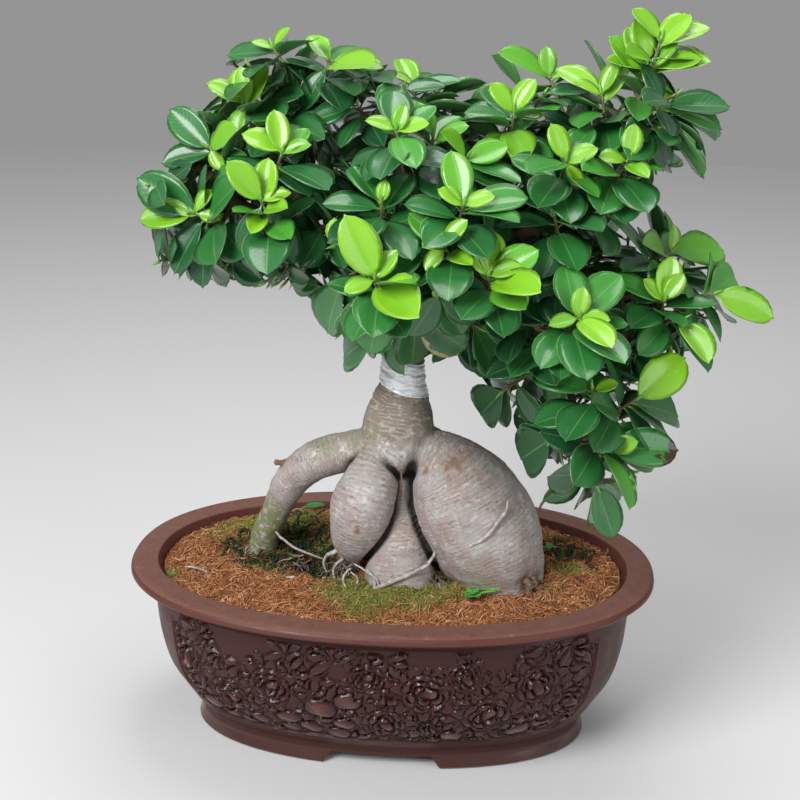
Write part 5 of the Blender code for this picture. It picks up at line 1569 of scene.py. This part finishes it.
def makeInnerSprigs(material):
    draw = random.Random(inner["seed"])
    whole = nodeTree([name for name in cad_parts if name.startswith("leafy_stem") or name == "trunk"])
    spots = pointTree([place[0] for place in branchSpots])
    # The three rings of a leaf's stalk, which may touch their own twig
    stalk = 3 * (2 * foliage["youngGrid"][1] - 2)
    low = Vector(cadBounds[0]) / mm - plantShift
    high = Vector(cadBounds[1]) / mm - plantShift
    grown = []
    groups = {"left": [], "middle": [], "right": []}

    def blocked(block, centre, reach):
        tree = bladeTree(block)
        if tree.overlap(whole):
            return True
        return any((centre - place).length < reach and tree.overlap(other) for place, other in grown)

    def hasRoom(point):
        return all(low[k] + 3 < point[k] < high[k] - 3 for k in range(3)) and insideOutline(*pictured(point))

    def sprigAt(target, place, least):
        centre, _, radius, _ = place
        out = (target - centre).normalized()
        heading = (out + Vector((0, -0.15, 0.45))).normalized()
        blocks = []
        settled = []
        spin = draw.uniform(0, 360)
        for i in range(7):
            age = inner["ages"][0] + (inner["ages"][1] - inner["ages"][0]) * i / 6
            length = draw.uniform(*inner["leafLength"])
            for lean in (62, 48, 78, 95):
                direction = roundHeading(heading, spin + 137.5 * i, lean + 3 * i).normalized()
                base = target - heading * 2.4 * i
                facing = heading + Vector((0, -0.2, 0.4)) + draw.uniform(-0.2, 0.2) * heading.cross(direction)
                if not hasRoom(base + direction * length):
                    continue
                block = leafBlade(base, direction, facing, length, 0.62 * length, age, draw,
                                  foliage["youngGrid"])
                middle = base + direction * length / 2
                free = [part[part.min(axis=1) >= stalk] - stalk for part in block[1]]
                trimmed = (block[0][stalk:], free, None)
                if not blocked(trimmed, middle, 45):
                    blocks.append(block)
                    settled.append((middle, bladeTree(trimmed)))
                    break
        if len(blocks) < least:
            return []
        grown.extend(settled)
        start = centre + out * radius * 0.6
        foot = np.array(target - heading * 2.4 * 7)
        bend = curvePoints(start, start.lerp(target, 0.35), Vector(foot), target)
        blocks.append(twigBlock(bend, np.array(out) * 0.5, 1.25, 0.8))
        blocks.append(budBlock(target, heading, draw.uniform(4, 6.5)))
        return blocks

    def keep(blocks, target):
        name = "left" if target.x < -25 else "middle" if target.x < 65 else "right"
        groups[name] += blocks

    gaps = []
    for x in range(*inner["columns"], inner["step"]):
        for y in range(*inner["lines"], inner["step"]):
            if insideOutline(x, y):
                sight = sightLine(x, y)
                if whole.ray_cast(eye, sight)[0] is None:
                    gaps.append((x, y))
    draw.shuffle(gaps)
    covered = []
    count = 0
    for x, y in gaps:
        if count >= inner["sprigs"]:
            break
        if any(math.hypot(x - cx, y - cy) < inner["spacing"] for cx, cy in covered):
            continue
        sight = sightLine(x, y)
        front = nearestAround(whole, x, y)
        options = []
        for depth in inner["depths"]:
            target = eye + sight * (depth - eye.y) / sight.y
            _, k, distance = spots.find(target)
            if inner["twigSpan"][0] < distance < inner["twigSpan"][1] and (target - eye).length > front + 8:
                options.append((distance + draw.uniform(0, 12), target, branchSpots[k]))
        for _, target, place in sorted(options, key=lambda option: option[0])[:3]:
            blocks = sprigAt(target, place, 3)
            if blocks:
                keep(blocks, target)
                covered += [pictured(middle) for middle, _ in grown[-len(blocks) + 2:]]
                count += 1
                break
    more = 0
    for _ in range(900):
        if more >= inner["round"]:
            break
        place = branchSpots[draw.randrange(len(branchSpots))]
        out = Vector((draw.uniform(-1, 1), draw.uniform(-1, 1), draw.uniform(-0.5, 1))).normalized()
        target = place[0] + out * draw.uniform(14, 34)
        sight = target - eye
        hidden = whole.ray_cast(eye, sight, sight.length)[0] is not None
        if not hasRoom(target) or not (hidden or target.y > 15):
            continue
        blocks = sprigAt(target, place, 4)
        if blocks:
            keep(blocks, target)
            more += 1
    for name, blocks in groups.items():
        newPiece("innerSprigs." + name, blocks, material, leafValues, ())
    print("inner sprigs:", count, "for", len(gaps), "gaps, and", more, "round about, leaves:", len(grown))


makeInnerSprigs(leafFinish)


# Soil: a lumpy coir body, with loose fibres, crumbs, moss and dark strands lying on it

soil = {
    "edge": 111.0,
    "crown": 6.0,
    "halfLength": 150.0,
    "halfWidth": 90.0,
    # Half sizes of the oval in which loose pieces lie, and of the one that holds their far ends in
    "scatterWall": (147.0, 85.0),
    "strandWall": (148.0, 86.0),
    # A mound as (x, y, height, reach)
    "mound": (-95.0, 50.0, 5.0, 45.0),
    "wall": [(52.5, 17.4), (39.5, 32.0), (25.5, 75.0), (23.0, 106.0), (20.5, 110.4)],
    "rings": 52,
    "sides": 230,
    "fibres": 7200,
    "fibreLength": (4, 15),
    "fibreRadius": (0.16, 0.42),
    "crumbs": 1500,
    "crumbSize": (0.5, 1.5),
    "mossSpikes": 7000,
    "mossHeight": (0.9, 2.2),
    "mossRadius": (0.28, 0.55),
    "strands": 460,
    "strandLength": (6, 15),
    "strandRadius": (0.4, 1.15),
    "seed": 5,
    # Patches as (x, y, reach, strength)
    "moss": [(-28, -48, 15, 1.0), (-2, -52, 17, 1.0), (22, -44, 14, 1.0), (47, -41, 12, 0.8),
             (-13, -67, 13, 0.6), (23, -58, 12, 0.6), (107, 6, 12, 0.8), (120, 3, 9, 0.5),
             (136, 0, 8, 0.4), (103, -31, 9, 0.5), (-70, 52, 24, 1.0), (-100, 40, 18, 0.7),
             (-120, 32, 12, 0.5), (-45, 12, 14, 0.7), (-68, -8, 10, 0.6), (-139, -29, 5, 0.9),
             (-80, -22, 9, 0.6), (60, 62, 26, 0.5), (-10, 68, 22, 0.4)],
    "dark": [(-104, 10, 12, 1.0), (-80, -12, 14, 1.0), (-62, -4, 16, 1.0), (-48, -18, 13, 1.0),
             (-46, 4, 14, 1.0), (-34, -24, 10, 0.9), (-62, 20, 20, 0.9), (-72, 40, 14, 0.5),
             (36, -32, 7, 1.0), (90, -36, 7, 0.7), (118, 22, 16, 0.7), (104, 40, 16, 0.6),
             (20, 40, 30, 0.6), (128, -8, 8, 0.4)],
    "orange": (0.66, 0.27, 0.11),
    "tan": (0.80, 0.50, 0.27),
    "brown": (0.36, 0.145, 0.065),
    "shade": (0.075, 0.032, 0.017),
    "mossLight": (0.38, 0.40, 0.09),
    "mossDark": (0.10, 0.15, 0.035),
    "strand": (0.018, 0.040, 0.018),
    "strandLight": (0.05, 0.11, 0.03),
}


def patchAt(x, y, patches):
    total = np.zeros_like(x)
    for px, py, reach, strength in patches:
        total += strength * np.exp(-((x - px) ** 2 + (y - py) ** 2) / reach ** 2)
    return np.clip(total, 0, 1.2)


def soilTop(x, y):
    edge = ovalShare(x, y, soil["halfLength"], soil["halfWidth"])
    moundX, moundY, high, reach = soil["mound"]
    mound = high * np.exp(-((x - moundX) ** 2 + (y - moundY) ** 2) / reach ** 2)
    lumps = 1.3 * np.sin(0.09 * x + 1) * np.cos(0.11 * y) + 0.7 * np.sin(0.21 * x + 0.17 * y)
    inward = np.clip(1 - edge, 0, None)
    flat = np.column_stack([x, y, np.zeros_like(x)])
    rough = 2.8 * noiseAt(flat, 13, 2) + 2.2 * noiseAt(flat, 5.5, 4) + 0.7 * noiseAt(flat, 2.4, 6)
    dip = -2.2 * patchAt(x, y, soil["dark"]) * np.clip(3 * inward, 0, 1)
    height = soil["edge"] + soil["crown"] * np.minimum(1, 2.2 * inward)
    height += (mound + lumps) * np.minimum(1, 4 * inward)
    return height + rough * np.clip(0.35 + 5 * inward, 0, 1) + dip


def makeSoilBody(material):
    turns = 2 * math.pi * np.arange(soil["sides"]) / soil["sides"]
    rings = [levelRing(row, turns) for row in soil["wall"]]
    edgeX, edgeY = ovalRing(soil["wall"][-1][0], turns)
    for share in np.linspace(0.995, 0.02, soil["rings"]):
        x = edgeX * share
        y = edgeY * share
        rings.append(np.column_stack([x, y, soilTop(x, y)]))
    middle = soilTop(np.zeros(1), np.zeros(1))[0]
    points, faces = closedRings(rings, (0, 0, soil["wall"][0][1]), (0, 0, middle))
    newPiece("soil.body", [(points, faces, soilLooks(points, 0.4))], material, soilValues, ("soil",))


soilValues = ("moss", "dark", "tone", "kind")


def soilLooks(points, tone, kind=0.0):
    moss = patchAt(points[:, 0], points[:, 1], soil["moss"])
    dark = patchAt(points[:, 0], points[:, 1], soil["dark"])
    return np.column_stack([moss, dark] + [np.broadcast_to(value, len(points)) for value in (tone, kind)])


def scattered(draw, count, tree, patches=None):
    # Places on the open soil, thicker in the patches if there are any
    spots = []
    wall = soil["scatterWall"]
    while len(spots) < count:
        batch = draw.uniform(-1, 1, (4000, 2)) * wall
        batch = batch[ovalShare(*batch.T, *wall) < 1]
        if patches:
            batch = batch[draw.uniform(0, 1, len(batch)) < patchAt(batch[:, 0], batch[:, 1], patches) ** 1.5]
        heights = soilTop(batch[:, 0], batch[:, 1])
        for (x, y), z in zip(batch, heights):
            _, normal, _, _ = tree.ray_cast(Vector((x, y, z + 0.5)), Vector((0, 0, 1)))
            if normal is None or normal.z < 0:
                spots.append((x, y, z))
    return np.array(spots[:count])


def strandBlock(centres, radii, flatness, looks):
    # centres is (strands, rings, 3): each strand a thin closed tube of three or four sides
    strands, rows, _ = centres.shape
    sides = 3 if flatness == 1 else 4
    tangents = np.gradient(centres, axis=1)
    tangents /= np.linalg.norm(tangents, axis=2)[:, :, None] + 1e-9
    side = np.cross(tangents, (0.05, 0.08, 1.0))
    side /= np.linalg.norm(side, axis=2)[:, :, None] + 1e-9
    up = np.cross(side, tangents)
    turns = 2 * math.pi * np.arange(sides) / sides
    ring = np.cos(turns)[:, None] * side[:, :, None] + flatness * np.sin(turns)[:, None] * up[:, :, None]
    points = centres[:, :, None] + ring * radii[:, :, None, None]
    starts = (np.arange(strands) * rows * sides)[:, None, None]
    row = np.arange(sides)
    caps = np.array([row[::-1], (rows - 1) * sides + row])
    faces = [(starts + ringQuads(rows, sides)).reshape(-1, 4), (starts + caps).reshape(-1, sides)]
    return points.reshape(-1, 3), faces, np.repeat(looks, rows * sides, axis=0)


def lyingStrands(draw, spots, reach, radius, rows, lift):
    # Strands that follow the ground, with an arch in the middle
    count = len(spots)
    heading = draw.uniform(0, 2 * math.pi, count)
    curl = draw.uniform(-2.2, 2.2, count)
    length = draw.uniform(*reach, count)
    t = np.linspace(0, 1, rows)
    turn = heading[:, None] + curl[:, None] * t[None]
    step = length[:, None] / (rows - 1)
    x = spots[:, :1] + np.cumsum(np.cos(turn) * step, axis=1)
    y = spots[:, 1:2] + np.cumsum(np.sin(turn) * step, axis=1)
    outside = np.maximum(ovalShare(x, y, *soil["strandWall"]), 1)
    x = x / outside
    y = y / outside
    z = soilTop(x.ravel(), y.ravel()).reshape(x.shape)
    rise = draw.uniform(*lift, count)
    tail = draw.uniform(0, 1, count) ** 4 * 3.0
    z = z + 0.15 + rise[:, None] * np.sin(math.pi * t)[None] + tail[:, None] * t[None] ** 2
    thick = draw.uniform(*radius, count)
    return np.stack([x, y, z], axis=2), thick[:, None] * (1 - 0.55 * t[None] ** 2)


def makeLitter(material, tree):
    draw = np.random.default_rng(soil["seed"])
    spots = scattered(draw, soil["fibres"], tree)
    centres, radii = lyingStrands(draw, spots, soil["fibreLength"], soil["fibreRadius"], 4, (-0.3, 1.6))
    tone = draw.uniform(0, 1, len(spots))
    blocks = [strandBlock(centres, radii, 1, soilLooks(spots, tone, 0.5))]
    newPiece("soil.fibres", blocks, material, soilValues, ())
    spots = scattered(draw, soil["mossSpikes"], tree, soil["moss"])
    clump = 0.5 + 0.5 * noiseAt(spots, 4.5, 8)
    tilt = draw.uniform(-0.55, 0.55, (len(spots), 2))
    height = draw.uniform(*soil["mossHeight"], len(spots)) * (0.6 + clump)
    t = np.array([0, 0.55, 1])
    centres = spots[:, None] + t[None, :, None] * np.column_stack([tilt * height[:, None], height])[:, None]
    centres = centres - (0, 0, 0.3)
    radii = draw.uniform(*soil["mossRadius"], len(spots))[:, None] * np.array([1.0, 0.85, 0.12])[None]
    blocks = [strandBlock(centres, radii, 1, soilLooks(spots, draw.uniform(0, 1, len(spots)), 1.0))]
    newPiece("soil.moss", blocks, material, soilValues, ())
    spots = scattered(draw, soil["strands"], tree, soil["dark"])
    centres, radii = lyingStrands(draw, spots, soil["strandLength"], soil["strandRadius"], 7, (0.4, 3.6))
    blocks = [strandBlock(centres, radii, 0.3, soilLooks(spots, draw.uniform(0, 1, len(spots)), 2.0))]
    blocks += [crumbBlock(draw, tree)]
    newPiece("soil.litter", blocks, material, soilValues, ())


def crumbBlock(draw, tree):
    spots = scattered(draw, soil["crumbs"], tree)
    size = draw.uniform(*soil["crumbSize"], len(spots)) ** 1.3
    corners = np.array([(1, 0, 0), (0, 1, 0), (-1, 0, 0), (0, -1, 0), (0, 0, 0.8), (0, 0, -0.8)])
    points = spots[:, None] + corners[None] * size[:, None, None] * draw.uniform(0.6, 1.2, (len(spots), 6, 1))
    faces = np.array([(0, 1, 4), (1, 2, 4), (2, 3, 4), (3, 0, 4), (1, 0, 5), (2, 1, 5), (3, 2, 5), (0, 3, 5)])
    starts = np.arange(len(spots)) * 6
    looks = soilLooks(spots, draw.uniform(0, 1, len(spots)), 0.5)
    faces = (starts[:, None, None] + faces).reshape(-1, 3)
    return points.reshape(-1, 3), [faces], np.repeat(looks, 6, axis=0)


def soilMaterial():
    paint = Finish("coir soil", Roughness=0.95, Specular_IOR_Level=0.15)
    moss = paint.attribute("moss")
    dark = paint.attribute("dark")
    tone = paint.attribute("tone")
    kind = paint.attribute("kind")
    patch = paint.cloud(17, 5)
    fine = paint.cloud(2.5, 6, 0.7)
    coir = paint.spread(paint.timesPlus(tone, 0.7, patch), 0.45, 1.05)
    paint.colour = paint.blend(coir, soil["brown"], soil["orange"])
    paint.tint(paint.spread(paint.timesPlus(tone, 0.5, fine), 0.78, 1.05), soil["tan"])
    body = paint.spread(kind, 0.3, 0.1)
    paint.tint(paint.times(body, paint.spread(fine, 0.40, 0.62, 0.9, 0.25)), soil["shade"])
    paint.tint(paint.spread(paint.timesPlus(patch, 0.5, dark), 0.45, 1.15, 0, 0.85), soil["shade"])
    green = paint.blend(tone, soil["mossDark"], soil["mossLight"])
    ground = paint.timesPlus(paint.cloud(7, 5), 0.7, moss)
    isMoss = paint.times(paint.spread(kind, 0.7, 0.9), paint.spread(kind, 1.8, 1.3))
    share = paint.maths("MAXIMUM", paint.spread(ground, 0.62, 1.25, 0, 0.75), isMoss)
    paint.tint(share, green)
    strand = paint.blend(paint.spread(tone, 0.6, 0.9), soil["strand"], soil["strandLight"])
    paint.tint(paint.spread(kind, 1.6, 1.9), strand)
    paint.feed(paint.spread(kind, 1.6, 1.9, 0.95, 0.45), "Roughness")
    paint.bump([(paint.cloud(1.5, 5, 0.75), 0.9, 0.9), (paint.cloud(4, 4), 0.6, 1.2)])
    return paint.done()


soilFinish = soilMaterial()
makeSoilBody(soilFinish)
makeLitter(soilFinish, barkTree())
print("soil made")


# Weeds and rootlets, each where the photo shows it

def tubeIn(knots, radii, sides, row, steps=6, wobble=0.35):
    path = smoothPath([(*knot, radius) for knot, radius in zip(knots, radii)], steps)
    shift = np.column_stack([noiseAt(path[:, :3], 4, 20 + k) for k in range(3)]) * wobble
    points, faces, _ = tubeBlock(path[:, :3] + shift, path[:, 3], sides)
    return points, faces, np.tile(row, (len(points), 1))


rootlets = {
    "seed": 17,
    # Looks in the order of barkValues
    "paleLook": (0.0, -0.38, 0.0, 0.08, 0.0),
    "brownLook": (0.0, 0.55, 0.0, 0.6, 0.0),
    "hairLooks": ((0.0, -0.1, 0.0, 0.35, 0.0), (0.0, 0.1, 0.0, 0.8, 0.0), (0.0, 0.0, 0.0, 0.6, 0.5)),
    # Each rootlet as its knots and their radii
    "pale": [
        ([(75, -37, 178), (74, -42, 173), (70, -45, 168), (66, -48, 162), (60, -49, 156), (53, -48, 151),
          (47, -45, 145), (43, -43, 140)], (0.5, 1.1, 1.2, 1.2, 1.2, 1.2, 1.1, 0.7)),
        ([(32, -29, 141), (28, -36, 134), (24, -41, 131), (18, -44, 129), (13, -46, 127), (2, -47, 122),
          (-8, -46, 116), (-12, -46, 113)], (0.7, 1.1, 1.2, 1.3, 1.4, 1.5, 1.5, 1.2)),
        ([(-79, 2, 134), (-74, -3, 131), (-68, -7, 128), (-60, -11, 125), (-50, -14, 123), (-42, -17, 122)],
         (0.6, 0.8, 0.9, 0.8, 0.7, 0.5)),
        ([(-27, -26, 136), (-33, -28, 133), (-38, -27, 130), (-41, -27, 124), (-38, -29, 117)],
         (1.9, 1.6, 1.2, 0.8, 0.5)),
        ([(-28, -31, 130), (-33, -35, 126), (-33, -37, 120), (-30, -38, 115)], (1.0, 0.8, 0.6, 0.4)),
        ([(-22, -38, 127), (-26, -41, 123), (-26, -43, 118), (-22, -43, 115), (-18, -42, 118),
          (-18, -41, 122), (-22, -40, 125)], (0.6, 0.7, 0.7, 0.7, 0.7, 0.6, 0.5)),
        ([(-12, -40, 128), (-8, -43, 125), (-6, -45, 120), (-8, -46, 115)], (0.6, 0.7, 0.7, 0.5)),
        ([(-20, -38, 130), (-13, -42, 128), (-6, -44, 124), (-3, -46, 118)], (0.5, 0.7, 0.7, 0.5)),
        ([(-133, -20, 113), (-126, -24, 115), (-118, -27, 114), (-112, -31, 112)], (0.5, 0.8, 0.8, 0.5)),
        ([(-64, -34, 116), (-58, -35, 117), (-50, -35, 116)], (0.9, 1.1, 0.8)),
        ([(-41, -33, 117), (-35, -35, 117), (-30, -37, 116)], (0.9, 1.0, 0.7)),
    ],
    # Tufts of hair roots as (x, y, z, scatter, count)
    "tufts": [(-29, -31, 126, 3.0, 26), (-33, -29, 119, 3.5, 22), (-93, 3, 117, 4.0, 14),
              (88, -34, 121, 3.0, 10), (32, -36, 118, 4.0, 10), (-60, -16, 118, 6.0, 12)],
    "brown": [
        ([(101, -2, 171), (99, -2, 166), (96, -3, 161), (95, -3, 156)], (0.8, 1.0, 0.9, 0.6)),
        ([(142, 32, 112), (143, 38, 114), (145, 45, 116), (146, 52, 119)], (0.9, 0.9, 0.8, 0.5)),
        ([(87, -35, 123), (90, -34, 120), (93, -31, 116)], (2.2, 2.4, 1.6)),
        ([(92, -32, 124), (94, -31, 119), (95, -30, 114)], (1.5, 1.6, 1.2)),
        ([(8, -23, 189), (8, -22, 180), (8, -21, 170)], (0.5, 0.6, 0.4)),
    ],
}


def hairRoot(draw, start):
    turn = draw.uniform(0, 2 * math.pi)
    heading = Vector((math.cos(turn), math.sin(turn) - 0.4, draw.uniform(-0.9, 0.3)))
    knots = [start]
    for _ in range(6):
        bend = Vector([draw.gauss(0, 0.45) for _ in range(3)])
        heading = (heading + bend + Vector((0, 0, -0.22))).normalized()
        ahead = knots[-1] + heading * draw.uniform(1.6, 3.8)
        ground = soilTop(np.array([ahead.x]), np.array([ahead.y]))[0] + 0.5
        knots.append(Vector((ahead.x, ahead.y, max(ahead.z, ground))))
    look = draw.choice(rootlets["hairLooks"])
    radii = np.linspace(draw.uniform(0.35, 0.7), 0.16, 7)
    return tubeIn([tuple(knot) for knot in knots], radii, 5, look, 3)


def makeRootlets(material):
    blocks = []
    for knots, radii in rootlets["pale"]:
        blocks.append(tubeIn(knots, radii, 7, rootlets["paleLook"]))
    draw = random.Random(rootlets["seed"])
    for x, y, z, scatter, count in rootlets["tufts"]:
        for _ in range(count):
            blocks.append(hairRoot(draw, Vector([draw.gauss(c, scatter / 2) for c in (x, y, z)])))
    for knots, radii in rootlets["brown"]:
        blocks.append(tubeIn(knots, radii, 7, rootlets["brownLook"]))
    newPiece("trunk.rootlets", blocks, material, barkValues, ())


weeds = {
    "seed": 31,
    "rosette": (55, -49, 118.2),
    "rosetteTop": (55, -49, 120),
    # Sprouts as (base, length)
    "sprouts": [((103, 29, 114.5), 6.0), ((-139, -29, 111.5), 4.2)],
    # Single leaves as (base, direction, facing, length, width share, age)
    "single": [((-70, 72, 117), (0.93, -0.1, 0.35), (-0.3, -0.3, 1), 17, 0.42, 8.5),
               ((72, -44, 119.5), (-1, 0.05, 0.06), (0, -0.4, 1), 17, 0.14, 3.2),
               ((60, -47, 118.5), (1, 0.2, 0.15), (0, -0.4, 1), 10, 0.2, 2.6)],
}


def makeWeeds(material):
    draw = random.Random(weeds["seed"])
    up = Vector((0, 0, 1))
    rows = []
    for k in range(5):
        turn = 2 * math.pi * k / 5 + 0.4
        out = Vector((math.cos(turn), math.sin(turn), 0.25))
        rows.append((Vector(weeds["rosette"]), out, up + 0.1 * out, 6.2, 1.15, 4.6))
    for k in range(3):
        out = Vector((math.cos(2.1 * k + 0.5), math.sin(2.1 * k + 0.5), 0.35))
        rows.append((Vector(weeds["rosetteTop"]), out, up, 4.2, 1.15, 4.0))
    for k in range(4):
        out = Vector((math.cos(1.6 * k), math.sin(1.6 * k), 0.5))
        rows += [(Vector(base), out, up, length, 0.9, 6.0) for base, length in weeds["sprouts"]]
    for base, direction, facing, *rest in weeds["single"]:
        rows.append((Vector(base), Vector(direction), Vector(facing), *rest))
    blocks = []
    for base, direction, facing, length, share, age in rows:
        blocks.append(leafBlade(base, direction.normalized(), facing, length, share * length, age, draw,
                                foliage["youngGrid"]))
    newPiece("soil.weeds", blocks, material, leafValues, ())


drainMesh = {
    "dark": (0.020, 0.10, 0.040),
    "light": (0.035, 0.15, 0.065),
}


def finishDrainMeshes():
    paint = Finish("drain mesh", Roughness=0.45)
    paint.colour = paint.blend(paint.cloud(6, 4), drainMesh["dark"], drainMesh["light"])
    paint.bump([(paint.cloud(1.2, 3, stretch=(1, 0.2, 1)), 0.3, 0.2)])
    material = paint.done()
    for name in ("drain_mesh_left", "drain_mesh_right"):
        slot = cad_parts[name].material_slots[0]
        slot.link = "OBJECT"
        slot.material = material


makeRootlets(barkFinish)
makeWeeds(leafFinish)
finishDrainMeshes()
print("rootlets and weeds made")


# Studio: plain pale floor and soft light from the upper left

studio = {
    "floorSide": 4.0,
    "floorColour": (0.66, 0.66, 0.665),
    "world": 0.30,
    "key": ((-0.75, -1.15, 1.35), 1.0, 34.0),
    "fill": ((1.2, -0.9, 0.7), 1.0, 6.0),
    "top": ((0.1, 0.3, 1.6), 0.9, 10.0),
    "aim": (0.0, 0.0, 0.22),
}


def makeStudio():
    half = studio["floorSide"] / 2
    mesh = bpy.data.meshes.new("floor")
    corners = [(-half, -half, 0), (half, -half, 0), (half, half, 0), (-half, half, 0)]
    mesh.from_pydata(corners, [], [(0, 1, 2, 3)])
    floor = bpy.data.objects.new("floor", mesh)
    scene.collection.objects.link(floor)
    mesh.materials.append(Finish("floor", Base_Color=(*studio["floorColour"], 1), Roughness=0.9).material)
    world = bpy.data.worlds.new("studio")
    world.use_nodes = True
    background = world.node_tree.nodes["Background"]
    background.inputs["Color"].default_value = (1, 1, 1, 1)
    background.inputs["Strength"].default_value = studio["world"]
    scene.world = world
    scene.view_settings.view_transform = "Standard"
    for name in ("key", "fill", "top"):
        place, size, power = studio[name]
        data = bpy.data.lights.new(name, "AREA")
        data.shape = "DISK"
        data.size = size
        data.energy = power
        light = bpy.data.objects.new(name, data)
        light.location = place
        light.rotation_euler = (Vector(place) - Vector(studio["aim"])).to_track_quat("Z", "Y").to_euler()
        scene.collection.objects.link(light)


makeStudio()
print("studio made")
